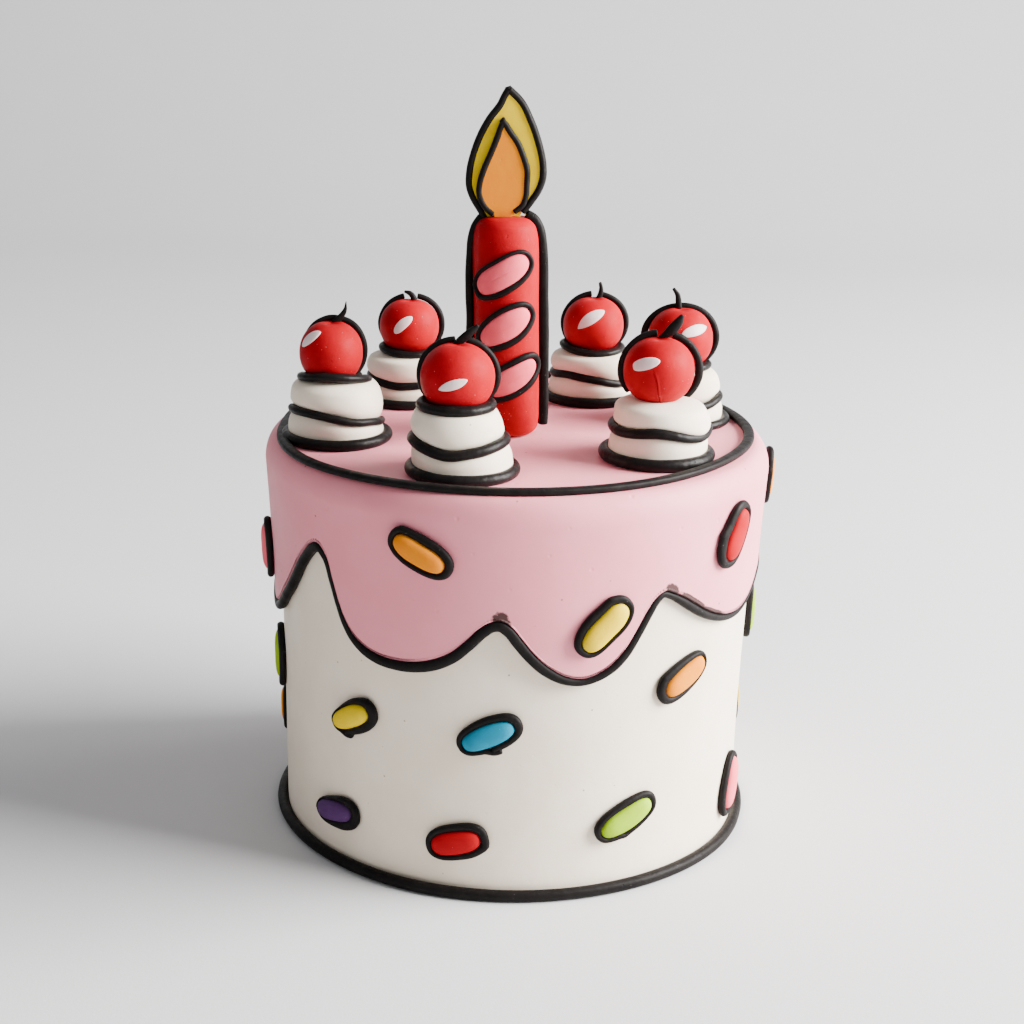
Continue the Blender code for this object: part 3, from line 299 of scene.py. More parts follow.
class CakeColours(bpy.types.PropertyGroup):
    """Colours of the sugar pastes."""
    white: colour_property("White", "Wall and puffs", (0.88, 0.775, 0.640))
    pink: colour_property("Pink", "Skin over the top", (0.84, 0.285, 0.345))
    black: colour_property("Black", "All outlines", (0.0085, 0.0070, 0.0068))
    red: colour_property("Red", "Cherries and candle", (0.37, 0.0014, 0.0080))
    rose: colour_property("Rose", "Ovals and rose sprinkles", (0.90, 0.13, 0.175))
    orange: colour_property("Orange", "Inner flame and orange sprinkles", (0.73, 0.235, 0.0004))
    yellow: colour_property("Yellow", "Outer flame and yellow sprinkles", (0.75, 0.545, 0.0003))
    scarlet: colour_property("Scarlet", "Scarlet sprinkles", (0.37, 0.0015, 0.007))
    lime: colour_property("Lime", "Lime sprinkles", (0.31, 0.52, 0.003))
    blue: colour_property("Blue", "Blue sprinkles", (0.004, 0.22, 0.34))
    purple: colour_property("Purple", "Purple sprinkles", (0.085, 0.035, 0.125))
    floor: colour_property("Floor", "Studio floor", (0.60, 0.60, 0.612))


def sizes():
    """The sizes that the panel shows."""
    return bpy.context.scene.cake_sizes


# Curves and surfaces

def round_points(azimuths, radii, heights):
    """Points (r sin a, -r cos a, z) at azimuths a in degrees, radii r and heights z."""
    angles = np.radians(azimuths)
    return np.stack(np.broadcast_arrays(radii * np.sin(angles), -radii * np.cos(angles), heights), axis=-1)


def unit(vectors):
    """Vectors divided by their own length."""
    return vectors / np.maximum(np.linalg.norm(vectors, axis=-1, keepdims=True), 1e-12)


def ripple(turns, seed, terms=6, first=1):
    """Smooth unevenness, repeating once per turn: a sum of cosines of whole multiples of the turn,
    with random sizes that fall with the multiple, scaled to lie between about -1 and 1."""
    rng = np.random.default_rng(seed)
    orders = np.arange(first, first + terms)
    weights = rng.uniform(0.4, 1.0, terms) / orders ** 0.6
    phases = rng.uniform(0.0, FULL_TURN, terms)
    waves = weights * np.cos(FULL_TURN * orders * np.asarray(turns)[..., None] + phases)
    return waves.sum(axis=-1) / weights.sum() * 1.6


def walked(points):
    """Distance from the first point to each, along the line through them."""
    return np.concatenate(([0.0], np.cumsum(np.linalg.norm(np.diff(points, axis=0), axis=1))))


def evenly(points, count, closed=False):
    """As many points as count, at equal distances along the line through the given ones."""
    line = np.concatenate((points, points[:1])) if closed else np.asarray(points, float)
    stops = walked(line[:, :3])
    wanted = np.linspace(0.0, stops[-1], count, endpoint=not closed)
    return np.stack([np.interp(wanted, stops, column) for column in line.T], axis=-1)


def smooth_line(points, count):
    """Points evenly along a curve through the given ones. Between two of them it is the cubic whose
    end slopes are those of the chords there, measured by distance walked."""
    points = np.asarray(points, float)
    knots = walked(points)
    slopes = np.gradient(points, knots, axis=0, edge_order=1)
    at = np.linspace(0.0, knots[-1], count * 6)
    piece = np.clip(np.searchsorted(knots, at, side="right") - 1, 0, len(knots) - 2)
    span = (knots[piece + 1] - knots[piece])[:, None]
    s = (at - knots[piece])[:, None] / span
    curve = ((2 * s ** 3 - 3 * s ** 2 + 1) * points[piece] + (s ** 3 - 2 * s ** 2 + s) * span * slopes[piece]
             + (3 * s ** 2 - 2 * s ** 3) * points[piece + 1] + (s ** 3 - s ** 2) * span * slopes[piece + 1])
    return evenly(curve, count)


def round_curve(pairs, azimuths, softness=9.0):
    """Heights at these azimuths: the given (azimuth, height) pairs are joined by straight lines once
    round, and the result is softened by a bell curve of this many degrees, as a product of its
    Fourier series with exp(-(k s)^2 / 2)."""
    table = np.array(sorted(((a + 180.0) % 360.0 - 180.0, z) for a, z in pairs))
    dense = np.arange(-180.0, 180.0)
    heights = np.interp(dense, table[:, 0], table[:, 1], period=360.0)
    waves = np.fft.rfft(heights)
    fading = np.exp(-(np.arange(len(waves)) * math.radians(softness)) ** 2 / 2.0)
    soft = np.fft.irfft(waves * fading, len(dense))
    return np.interp((np.asarray(azimuths) + 180.0) % 360.0 - 180.0, dense, soft, period=360.0)


def grid_mesh(points, closed_rows=False, first_pole=False, last_pole=False):
    """Vertices and faces of a grid of points whose rows run round a section. Each row is closed on
    itself; the last row joins the first if closed_rows, and a pole closes an end with triangles
    to the middle of its row."""
    rows, columns = points.shape[:2]
    index = np.arange(rows * columns).reshape(rows, columns)
    lower = index if closed_rows else index[:-1]
    upper = np.roll(index, -1, axis=0) if closed_rows else index[1:]
    quads = np.stack((lower, np.roll(lower, -1, axis=1), np.roll(upper, -1, axis=1), upper), axis=-1)
    vertices = [points.reshape(-1, 3)]
    faces = [quads.reshape(-1, 4)]
    count = rows * columns
    for wanted, ring, turn in ((first_pole, index[0], -1), (last_pole, index[-1], 1)):
        if wanted:
            vertices.append(points.reshape(-1, 3)[ring].mean(axis=0)[None])
            hub = np.full(columns, count)
            after = np.roll(ring, -1)
            ends = (ring, after) if turn > 0 else (after, ring)
            faces.append(np.stack((ends[0], ends[1], hub, hub), axis=-1))
            count += 1
    vertices = np.concatenate(vertices)
    faces = np.concatenate(faces)
    a, b, c, d = (vertices[faces[:, k]] for k in range(4))
    volume = np.sum(a * np.cross(b, c)) + np.sum(a * np.cross(c, d))
    if volume < 0.0:
        faces = faces[:, ::-1]
    return vertices, faces


def piece(name, grids, material, slot_name, nodes=(), marks=None):
    """One object from several closed grids, smooth, riding on the cake and standing for CAD nodes.
    marks holds named values, one for each vertex, that the material reads."""
    offset = 0
    vertices = []
    faces = []
    for grid_vertices, grid_faces in grids:
        vertices.append(grid_vertices)
        faces.extend(tuple(dict.fromkeys(face)) for face in (grid_faces + offset).tolist())
        offset += len(grid_vertices)
    mesh = bpy.data.meshes.new(name)
    mesh.from_pydata(np.concatenate(vertices).tolist(), [], faces)
    for mark, values in (marks or {}).items():
        layer = mesh.attributes.new(mark, "FLOAT", "POINT")
        layer.data.foreach_set("value", np.asarray(values, np.float32))
    mesh.shade_smooth()
    mesh.materials.append(material)
    item = bpy.data.objects.new(name, mesh)
    bpy.context.scene.collection.objects.link(item)
    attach(item, "root")
    if nodes:
        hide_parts(*nodes)
    return item


# Ends of a rope: how far out each shrinking section lies, as a share of half the rope's thickness, and
# its own size as a share of the rope's
CUT_END = ((0.00, 1.00), (0.16, 0.97), (0.30, 0.88), (0.38, 0.72), (0.42, 0.45), (0.43, 0.15))
SOFT_END = ((0.00, 1.00), (0.30, 0.95), (0.56, 0.83), (0.76, 0.64), (0.88, 0.40), (0.93, 0.15))


def rope(path, outward, width, depth, seed, closed=False, sides=18, square=2.0, ends=CUT_END, wobble=0.05):
    """Rolled rope: at each point of the path stands the superellipse
    (w/2 sgn(cos a)|cos a|^(2/n), d/2 sgn(sin a)|sin a|^(2/n)), d lying along the outward direction
    and w across it. Width and depth may change along the path and ripple a little, and an open
    rope ends in a few shrinking sections that round its cut."""
    path = np.asarray(path, float)
    count = len(path)
    outward = np.broadcast_to(np.asarray(outward, float), path.shape)
    if closed:
        run = np.roll(path, -1, axis=0) - np.roll(path, 1, axis=0)
        turns = np.arange(count) / count
    else:
        run = np.gradient(path, axis=0)
        turns = np.linspace(0.0, 1.0, count)
    run = unit(run)
    length = walked(path)[-1]
    terms = int(np.clip(length / 0.009, 3, 60))
    swell = 1.0 + wobble * ripple(turns, seed, terms)
    swell_other = 1.0 + wobble * ripple(turns, seed + 500, terms)
    wide = np.broadcast_to(width, count) * swell
    deep = np.broadcast_to(depth, count) * swell_other
    if not closed:
        offsets = np.array([row[0] for row in ends])[1:]
        shares = np.array([row[1] for row in ends])[1:]
        reach = offsets[:, None] * min(wide[0], deep[0]) / 2.0
        head = path[0] - run[0] * reach[::-1]
        reach = offsets[:, None] * min(wide[-1], deep[-1]) / 2.0
        tail = path[-1] + run[-1] * reach
        path = np.concatenate((head, path, tail))
        run = np.concatenate((np.repeat(run[:1], len(head), 0), run, np.repeat(run[-1:], len(tail), 0)))
        outward = np.concatenate((np.repeat(outward[:1], len(head), 0), outward,
                                  np.repeat(outward[-1:], len(tail), 0)))
        wide = np.concatenate((wide[0] * shares[::-1], wide, wide[-1] * shares))
        deep = np.concatenate((deep[0] * shares[::-1], deep, deep[-1] * shares))
    across = unit(np.cross(run, outward))
    lift = np.cross(across, run)
    angles = np.arange(sides) * FULL_TURN / sides
    flat = np.sign(np.cos(angles)) * np.abs(np.cos(angles)) ** (2.0 / square)
    high = np.sign(np.sin(angles)) * np.abs(np.sin(angles)) ** (2.0 / square)
    points = (path[:, None] + across[:, None] * (wide[:, None] / 2.0 * flat)[..., None]
              + lift[:, None] * (deep[:, None] / 2.0 * high)[..., None])
    return grid_mesh(points, closed_rows=closed, first_pole=not closed, last_pole=not closed)


def laid_rope(place, flat, width, depth, seed, **options):
    """A rope along flat points on a surface: place(u, v, lift) gives the point in space, and the
    rope's middle lies a little under half its depth above the surface."""
    path = place(flat[:, 0], flat[:, 1], depth * 0.46)
    outward = place(flat[:, 0], flat[:, 1], depth) - path
    return rope(path, unit(outward), width, depth, seed, **options)


def pill_outline(length, width, count, seed, wobble):
    """Two parts of the points round a pressed pill, the superellipse (a sgn(cos t)|cos t|^(2/n),
    b sgn(sin t)|sin t|^(2/n)) walked evenly: where each stands on the spine, the share (a - b) / a of
    its x, and how it stands off it. The offset ripples."""
    turn = np.linspace(0.0, FULL_TURN, 480, endpoint=False)
    x = np.sign(np.cos(turn)) * np.abs(np.cos(turn)) ** (2.0 / PILL_SQUARENESS) * length / 2.0
    y = np.sign(np.sin(turn)) * np.abs(np.sin(turn)) ** (2.0 / PILL_SQUARENESS) * width / 2.0
    on_spine = x * (1.0 - width / length)
    rows = np.stack((x, y, 0.0 * x, on_spine, 0.0 * x, x - on_spine, y), axis=-1)
    both = evenly(rows, count, closed=True)
    off = both[:, 5:7] * (1.0 + wobble * ripple(np.arange(count) / count, seed, 4))[:, None]
    return both[:, 3:5], off


def one_sided_rope(place, spine, off, thick, extra, turns, seed, depth):
    """A rope that hugs a pressed-on pill: its width is thick + 0.9 n.extra, n being the way out of the
    pill, and its middle lies 0.42 of that width outside the pill's edge."""
    count = len(spine)
    ways = unit(off)
    widths = np.maximum(thick + 0.9 * ways @ extra, 0.0010)
    rows = np.concatenate((spine + off + ways * (widths * 0.42)[:, None], widths[:, None]), axis=1)
    rows = np.concatenate((rows, rows[:1]))
    at = (turns % 1.0) * count
    flat = np.stack([np.interp(at, np.arange(count + 1), rows[:, k]) for k in range(3)], axis=-1)
    begun = turns - turns[0]
    over = np.clip((begun - 0.93) / 0.10, 0.0, 1.0) * thick * (0.55 if begun[-1] > 1.0 else 0.10)
    over = over + 0.16 * thick * np.exp(-(np.minimum(begun, np.abs(begun - 1.0)) / 0.03) ** 2)
    path = flat[:, :2] + unit(flat[:, :2]) * over[:, None]
    widths = flat[:, 2] * (1.0 + 0.08 * ripple(turns, seed, 4))
    return laid_rope(place, path, widths, depth, seed, sides=14)


def more_to(right, up, tilt):
    """Extra millimetres of outline on the right and upper sides, in the frame of a pill turned by the
    tilt: the vector turned back by it, in metres."""
    turn = math.radians(tilt)
    return np.array((right * math.cos(turn) + up * math.sin(turn),
                     up * math.cos(turn) - right * math.sin(turn))) * MM


def dome(place, spine, off, top, sink, roundness, rings=14):
    """Pressed-on pill: ring k of the surface is spine s^0.3 + offset s with s = sin f, lifted by
    top cos(f)^roundness, for f from a right angle at the rim to 0 at the top. The underside is
    flat and lies sink below the surface."""
    steps = np.linspace(math.pi / 2.0, 0.06, rings)
    grid = [place((spine + off)[:, 0] * 0.97, (spine + off)[:, 1] * 0.97, -sink)]
    for step in steps:
        s = math.sin(step)
        flat = spine * s ** 0.3 + off * s
        grid.append(place(flat[:, 0], flat[:, 1], top * max(math.cos(step), 0.0) ** roundness))
    return grid_mesh(np.array(grid), first_pole=True, last_pole=True)


# The cake's own surfaces

def wall(azimuths, heights):
    """Radius of the white wall: base + flare (z / height)^2.5, and hand-smoothed swells, a sum of
    cosines of whole multiples of the azimuth whose phases climb with the height."""
    s = sizes()
    rng = np.random.default_rng(11)
    orders = rng.integers(2, 11, 14)
    pitches = rng.uniform(-70.0, 70.0, 14)
    phases = rng.uniform(0.0, FULL_TURN, 14)
    azimuths, heights = np.broadcast_arrays(azimuths, heights)
    share = np.clip(heights / s.height, 0.0, 1.0)
    waves = np.cos(orders * np.radians(azimuths)[..., None] + pitches * heights[..., None] + phases)
    return s.base_radius + s.flare * share ** 2.5 + s.unevenness * waves.mean(axis=-1) * 2.2


def skin_wall(azimuths, heights):
    """Radius of the pink skin on the wall, with gentle swells of its own."""
    swell = ripple((np.asarray(azimuths) + 900.0 * heights) / 360.0, 23, 7, first=2)
    return wall(azimuths, heights) + sizes().skin + 0.00022 * swell


def shoulder_start():
    """Height at which the rounded top edge begins."""
    return sizes().height - sizes().shoulder_drop


def top_height(azimuths, radii):
    """Height of the pink top: the quarter ellipse of the shoulder beyond the flat's radius, and a
    slight swell over the flat."""
    s = sizes()
    flat = skin_wall(azimuths, shoulder_start()) - s.shoulder_width
    share = np.clip((radii - flat) / s.shoulder_width, 0.0, 1.0)
    swell = 0.00018 * ripple(np.asarray(azimuths) / 360.0, 31, 5) * np.clip(radii / 0.09, 0.0, 1.0)
    return s.height + swell - s.shoulder_drop * (1.0 - np.sqrt(1.0 - share ** 2))


def soft_rise(share, power, overshoot, height):
    """Rise of a lobe's side: overshoot height share^power, held softly at the peak's height by the
    smooth minimum -r log(exp(-a/r) + exp(-b/r))."""
    rounding = 1.5
    return -rounding * np.logaddexp(-overshoot * height * share ** power / rounding, -height / rounding)


def drip_line(steps=44):
    """Azimuths and heights of the drips' outline once round, from the first peak."""
    shares = np.linspace(0.0, 1.0, steps, endpoint=False)
    azimuths = []
    heights = []
    for row, after in zip(DRIPS, DRIPS[1:] + ((DRIPS[0][0] + 360.0,) + DRIPS[0][1:],)):
        for peak, side, way in ((row, row[4], np.append(shares[1:], 1.0)[::-1]), (after, row[5], shares)):
            drop = peak[1] - row[3]
            low, high = soft_rise(np.array([0.0, 1.0]), *side, drop)
            azimuths.append(row[2] + (peak[0] - row[2]) * way)
            heights.append(row[3] + (soft_rise(way, *side, drop) - low) / (high - low) * drop)
    return np.concatenate(azimuths), np.concatenate(heights) * MM


def drip_points(count):
    """The drips' outline at equal steps along it: azimuths that keep rising, heights and the rope's
    thickness. A curve through the measured points of the front meets the worked out line of the
    back."""
    radius = sizes().base_radius
    front = np.array(FRONT_DRIPS)
    front = np.stack((np.radians(front[:, 0]) * radius, front[:, 1] * MM, front[:, 2] * MM), axis=-1)
    azimuths, heights = drip_line()
    azimuths = np.where(azimuths < FRONT_DRIPS[0][0], azimuths + 360.0, azimuths)
    hidden = (azimuths > FRONT_DRIPS[-1][0] + 12.0) & (azimuths < FRONT_DRIPS[0][0] + 357.0)
    order = np.argsort(azimuths[hidden])
    back = np.stack((np.radians(azimuths[hidden][order]) * radius, heights[hidden][order],
                     np.full(hidden.sum(), sizes().drip_rope)), axis=-1)
    around = np.array((FULL_TURN * radius, 0.0, 0.0))
    curve = smooth_line(np.concatenate((front[-2:] - around, front, back[::4], front[:2] + around)), 4000)
    start = front[0, 0]
    kept = (curve[:, 0] >= start) & (curve[:, 0] < start + around[0])
    line = evenly(curve[kept], count)
    return np.degrees(line[:, 0] / radius), line[:, 1], line[:, 2]


def wall_placer(azimuth, height, tilt, lift_off):
    """place(u, v, lift) for a piece on the wall: u and v are turned by the tilt, wrapped round at
    this azimuth and height, and lifted off the wall's radius."""
    turn = math.radians(tilt)
    base = sizes().base_radius + lift_off

    def place(u, v, lift):
        right = u * math.cos(turn) - v * math.sin(turn)
        level = height + u * math.sin(turn) + v * math.cos(turn)
        azimuths = azimuth + np.degrees(right / (base + 0.002))
        radius = skin_wall(azimuths, level) if lift_off > 0.0 else wall(azimuths, level)
        return round_points(azimuths, radius + lift, level)
    return place


# Materials

def node(tree, kind, place, sockets=(), **values):
    """A shader node at this place, with the values of some sockets and some of its settings."""
    item = tree.nodes.new(kind)
    item.location = place
    for key, value in values.items():
        setattr(item, key, value)
    for label, value in sockets:
        item.inputs[label].default_value = value
    return item


def map_values(low, high, at_low=0.0, at_high=1.0):
    """Socket values of a Map Range node."""
    return (("From Min", low), ("From Max", high), ("To Min", at_low), ("To Max", at_high))


def group(name, inputs, outputs):
    """An empty shader node group with these named sockets, and its two end nodes."""
    tree = bpy.data.node_groups.new(name, "ShaderNodeTree")
    for label, kind, default in inputs:
        socket = tree.interface.new_socket(label, in_out="INPUT", socket_type=kind)
        socket.default_value = default
    for label, kind in outputs:
        tree.interface.new_socket(label, in_out="OUTPUT", socket_type=kind)
    return tree, node(tree, "NodeGroupInput", (-900, 0)), node(tree, "NodeGroupOutput", (900, 0))


def link(tree, *pairs):
    """Connect each output socket to an input socket."""
    for source, target in pairs:
        tree.links.new(source, target)


def maths(tree, operation, first, second, place=(0, 0)):
    """A Math node; each value is a socket or a number."""
    item = node(tree, "ShaderNodeMath", place, operation=operation)
    for slot, value in enumerate((first, second)):
        if isinstance(value, bpy.types.NodeSocket):
            tree.links.new(value, item.inputs[slot])
        else:
            item.inputs[slot].default_value = value
    return item.outputs[0]


def relief_group():
    """Height of the paste's surface in millimetres: fine grain, finger-smoothed swells and pits."""
    tree, start, end = group("Paste relief", (
        ("Vector", "NodeSocketVector", (0.0, 0.0, 0.0)),
        ("Grain Scale", "NodeSocketFloat", 2400.0),
        ("Grain Height", "NodeSocketFloat", 0.02),
        ("Swell Scale", "NodeSocketFloat", 140.0),
        ("Swell Height", "NodeSocketFloat", 0.15),
        ("Pit Scale", "NodeSocketFloat", 260.0),
        ("Pit Depth", "NodeSocketFloat", 0.10),
    ), (("Height", "NodeSocketFloat"),))
    grain = node(tree, "ShaderNodeTexNoise", (-600, 300), (("Detail", 3.0), ("Roughness", 0.6)))
    swell = node(tree, "ShaderNodeTexNoise", (-600, 0), (("Detail", 2.0), ("Roughness", 0.45)))
    pit = node(tree, "ShaderNodeTexVoronoi", (-600, -300))
    pit_choice = node(tree, "ShaderNodeSeparateColor", (-400, -450))
    near = node(tree, "ShaderNodeMapRange", (-400, -250), map_values(0.05, 0.16, 1.0, 0.0))
    for texture, label in ((grain, "Grain Scale"), (swell, "Swell Scale"), (pit, "Pit Scale")):
        link(tree, (start.outputs["Vector"], texture.inputs["Vector"]),
             (start.outputs[label], texture.inputs["Scale"]))
    link(tree, (pit.outputs["Distance"], near.inputs["Value"]),
         (pit.outputs["Color"], pit_choice.inputs["Color"]))
    chosen = maths(tree, "GREATER_THAN", pit_choice.outputs[0], 0.72, (-200, -450))
    pits = maths(tree, "MULTIPLY", near.outputs["Result"], chosen, (0, -300))
    grains = maths(tree, "MULTIPLY", grain.outputs["Fac"], start.outputs["Grain Height"], (0, 300))
    swells = maths(tree, "MULTIPLY", swell.outputs["Fac"], start.outputs["Swell Height"], (0, 0))
    deep = maths(tree, "MULTIPLY", pits, start.outputs["Pit Depth"], (200, -300))
    total = maths(tree, "SUBTRACT", maths(tree, "ADD", grains, swells, (300, 150)), deep, (500, 0))
    link(tree, (total, end.inputs["Height"]))
    return tree


def tint_group():
    """Colour of the paste: soft darker and paler patches, and few small specks of another colour."""
    tree, start, end = group("Paste tint", (
        ("Vector", "NodeSocketVector", (0.0, 0.0, 0.0)),
        ("Color", "NodeSocketColor", (0.8, 0.8, 0.8, 1.0)),
        ("Deep Color", "NodeSocketColor", (0.7, 0.7, 0.7, 1.0)),
        ("Speck Color", "NodeSocketColor", (0.3, 0.2, 0.1, 1.0)),
        ("Patch Scale", "NodeSocketFloat", 45.0),
        ("Grain Scale", "NodeSocketFloat", 1500.0),
        ("Grain Share", "NodeSocketFloat", 0.15),
        ("Speck Scale", "NodeSocketFloat", 220.0),
        ("Speck Share", "NodeSocketFloat", 0.04),
    ), (("Color", "NodeSocketColor"), ("Patches", "NodeSocketFloat")))
    patch = node(tree, "ShaderNodeTexNoise", (-600, 300), (("Detail", 4.0), ("Roughness", 0.55)))
    grain = node(tree, "ShaderNodeTexNoise", (-600, 0), (("Detail", 2.0),))
    spots = node(tree, "ShaderNodeTexVoronoi", (-600, -300))
    choice = node(tree, "ShaderNodeSeparateColor", (-400, -450))
    spread = node(tree, "ShaderNodeMapRange", (-400, 300), map_values(0.38, 0.66))
    dot = node(tree, "ShaderNodeMapRange", (-400, -250), map_values(0.04, 0.11, 1.0, 0.0))
    for texture, label in ((patch, "Patch Scale"), (grain, "Grain Scale"), (spots, "Speck Scale")):
        link(tree, (start.outputs["Vector"], texture.inputs["Vector"]),
             (start.outputs[label], texture.inputs["Scale"]))
    link(tree, (patch.outputs["Fac"], spread.inputs["Value"]),
         (spots.outputs["Distance"], dot.inputs["Value"]),
         (spots.outputs["Color"], choice.inputs["Color"]))
    rare = maths(tree, "LESS_THAN", choice.outputs[1], start.outputs["Speck Share"], (-200, -450))
    specks = maths(tree, "MULTIPLY", dot.outputs["Result"], rare, (0, -300))
    fine = maths(tree, "SUBTRACT", grain.outputs["Fac"], 0.5, (-400, 0))
    fine = maths(tree, "MULTIPLY", fine, start.outputs["Grain Share"], (-200, 0))
    amount = maths(tree, "ADD", spread.outputs["Result"], maths(tree, "MULTIPLY", fine, 4.0, (0, 0)),
                   (0, 150))
    mixed = node(tree, "ShaderNodeMix", (200, 150), data_type="RGBA")
    spotted = node(tree, "ShaderNodeMix", (500, 0), data_type="RGBA")
    link(tree, (amount, mixed.inputs["Factor"]), (start.outputs["Deep Color"], mixed.inputs[6]),
         (start.outputs["Color"], mixed.inputs[7]), (specks, spotted.inputs["Factor"]),
         (mixed.outputs[2], spotted.inputs[6]), (start.outputs["Speck Color"], spotted.inputs[7]),
         (spotted.outputs[2], end.inputs["Color"]), (spread.outputs["Result"], end.inputs["Patches"]))
    return tree


def shade(colour, amount=(1.0, 1.0, 1.0)):
    """A colour multiplied by an amount for each channel, with alpha."""
    return tuple(min(1.0, c * a) for c, a in zip(colour, amount)) + (1.0,)


def paste(name, colour, deep, roughness, speck=(0.35, 0.22, 0.12, 1.0), patch_scale=45.0, grain_share=0.10,
          speck_share=0.03, speck_scale=230.0, grain=(2400.0, 0.012), swell=(140.0, 0.12), pit=(240.0, 0.05),
          subsurface=0.0, specular=0.5, painted_shade=None):
    """Sugar paste: tinted patches and specks, rough by patches, with grain, swells and pits. The last
    argument, (mark, colour), is painted shade: where the piece's mark of that name is 1, the paste takes
    that dark colour."""
    if name in bpy.data.materials:
        return bpy.data.materials[name]
    relief = bpy.data.node_groups.get("Paste relief") or relief_group()
    tint = bpy.data.node_groups.get("Paste tint") or tint_group()
    material = bpy.data.materials.new(name)
    material.use_nodes = True
    tree = material.node_tree
    shader = tree.nodes["Principled BSDF"]
    where = node(tree, "ShaderNodeTexCoord", (-1100, 0))
    colours = node(tree, "ShaderNodeGroup", (-800, 200), (
        ("Color", shade(colour)), ("Deep Color", shade(colour, deep)), ("Speck Color", speck),
        ("Patch Scale", patch_scale), ("Grain Share", grain_share), ("Speck Scale", speck_scale),
        ("Speck Share", speck_share)), node_tree=tint)
    heights = node(tree, "ShaderNodeGroup", (-800, -300), (
        ("Grain Scale", grain[0]), ("Grain Height", grain[1]), ("Swell Scale", swell[0]),
        ("Swell Height", swell[1]), ("Pit Scale", pit[0]), ("Pit Depth", pit[1])), node_tree=relief)
    bump = node(tree, "ShaderNodeBump", (-300, -300), (("Distance", MM),))
    rough = maths(tree, "MULTIPLY", colours.outputs["Patches"], -ROUGH_SPREAD, (-400, 0))
    rough = maths(tree, "ADD", rough, roughness + ROUGH_SPREAD / 2.0, (-200, 0))
    link(tree, (where.outputs["Object"], colours.inputs["Vector"]),
         (where.outputs["Object"], heights.inputs["Vector"]),
         (heights.outputs["Height"], bump.inputs["Height"]),
         (bump.outputs["Normal"], shader.inputs["Normal"]), (rough, shader.inputs["Roughness"]))
    # Painted shade: the marked places take the given dark colour, with a ragged edge
    if painted_shade:
        marked = node(tree, "ShaderNodeAttribute", (-800, 500), attribute_name=painted_shade[0])
        mottle = node(tree, "ShaderNodeTexNoise", (-800, 750), (("Scale", 700.0), ("Detail", 3.0)))
        ragged = maths(tree, "MULTIPLY", marked.outputs["Fac"],
                       maths(tree, "ADD", mottle.outputs["Fac"], 0.45, (-600, 750)), (-500, 600))
        sharp = node(tree, "ShaderNodeMapRange", (-300, 600), map_values(0.34, 0.50))
        mixed = node(tree, "ShaderNodeMix", (-100, 400), data_type="RGBA")
        mixed.inputs[7].default_value = painted_shade[1]
        link(tree, (where.outputs["Object"], mottle.inputs["Vector"]), (ragged, sharp.inputs["Value"]),
             (sharp.outputs["Result"], mixed.inputs["Factor"]), (colours.outputs["Color"], mixed.inputs[6]),
             (mixed.outputs[2], shader.inputs["Base Color"]))
    else:
        link(tree, (colours.outputs["Color"], shader.inputs["Base Color"]))
    for label, value in (("Subsurface Weight", subsurface), ("Subsurface Radius", (1.0, 0.55, 0.4)),
                         ("Subsurface Scale", 1.5 * MM), ("Specular IOR Level", specular)):
        shader.inputs[label].default_value = value
    return material


def colour_of(name):
    """The panel's colour of this name."""
    return tuple(getattr(bpy.context.scene.cake_colours, name))


def white_paste():
    """Rolled white paste, faintly stained, with a few brown specks."""
    return paste("sugar_white", colour_of("white"), (0.95, 0.935, 0.91), 0.52, speck_share=0.10,
                 subsurface=0.12, specular=0.14, grain=(2600.0, 0.010), swell=(110.0, 0.20))


def black_paste():
    """Rolled black paste, matt and finely grained."""
    return paste("sugar_black", colour_of("black"), (0.62, 0.62, 0.62), 0.50, speck=(0.10, 0.09, 0.085, 1.0),
                 speck_share=0.16, speck_scale=520.0, patch_scale=160.0, grain_share=0.40,
                 grain=(1400.0, 0.07), swell=(320.0, 0.24), pit=(420.0, 0.16), specular=0.08)


def moist_black_paste():
    """Black paste with a damp gloss."""
    return paste("sugar_black_moist", colour_of("black"), (0.55, 0.55, 0.55), 0.40,
                 speck=(0.08, 0.075, 0.07, 1.0), speck_share=0.10, speck_scale=520.0, patch_scale=160.0,
                 grain_share=0.35, grain=(1500.0, 0.05), swell=(300.0, 0.34), pit=(420.0, 0.14),
                 specular=0.10)


def bright_paste(name):
    """Coloured paste, mottled in its own tone, with paler sugar grains."""
    colour = colour_of(name)
    pale = tuple(0.55 * c + 0.45 for c in colour) + (1.0,)
    deep = {"red": (0.86, 0.55, 0.75), "rose": (0.97, 0.82, 0.85), "yellow": (0.95, 0.90, 0.8),
            "orange": (0.98, 0.88, 0.8)}.get(name, (0.9, 0.86, 0.88))
    return paste(f"sugar_{name}", colour, deep, 0.50, speck=pale,
                 speck_share=0.14 if name == "red" else 0.05,
                 speck_scale=900.0, patch_scale=150.0, grain_share=0.20, grain=(1700.0, 0.035),
                 swell=(240.0, 0.16), pit=(380.0, 0.08), subsurface=0.05, specular=0.05)


# Pieces

class CAKE_OT_wall(bpy.types.Operator):
    """The white cake, from its flat underside to its top under the pink skin."""
    bl_idname = "cake.wall"
    bl_label = "White Cake"

    def execute(self, context):
        s = sizes()
        columns = np.linspace(0.0, 360.0, 480, endpoint=False)
        levels = np.concatenate(([0.0, 0.0003, 0.001, 0.002], np.linspace(0.004, shoulder_start(), 84)))
        pull = np.concatenate(([0.0012, 0.0004, 0.0001, 0.0], np.zeros(84)))
        rows = [round_points(columns, wall(columns, level) - inset, level)
                for level, inset in zip(levels, pull)]
        edge = wall(columns, shoulder_start())
        for angle in np.linspace(0.0, math.pi / 2.0, 9)[1:]:
            inset = WHITE_SHOULDER * (1.0 - math.cos(angle))
            level = shoulder_start() + (s.shoulder_drop - s.skin - 0.0002) * math.sin(angle)
            rows.append(round_points(columns, edge - inset, level))
        piece("white_cake", [grid_mesh(np.array(rows), first_pole=True, last_pole=True)], white_paste(),
              "white_paste", nodes=["cake_body"])
        return {"FINISHED"}


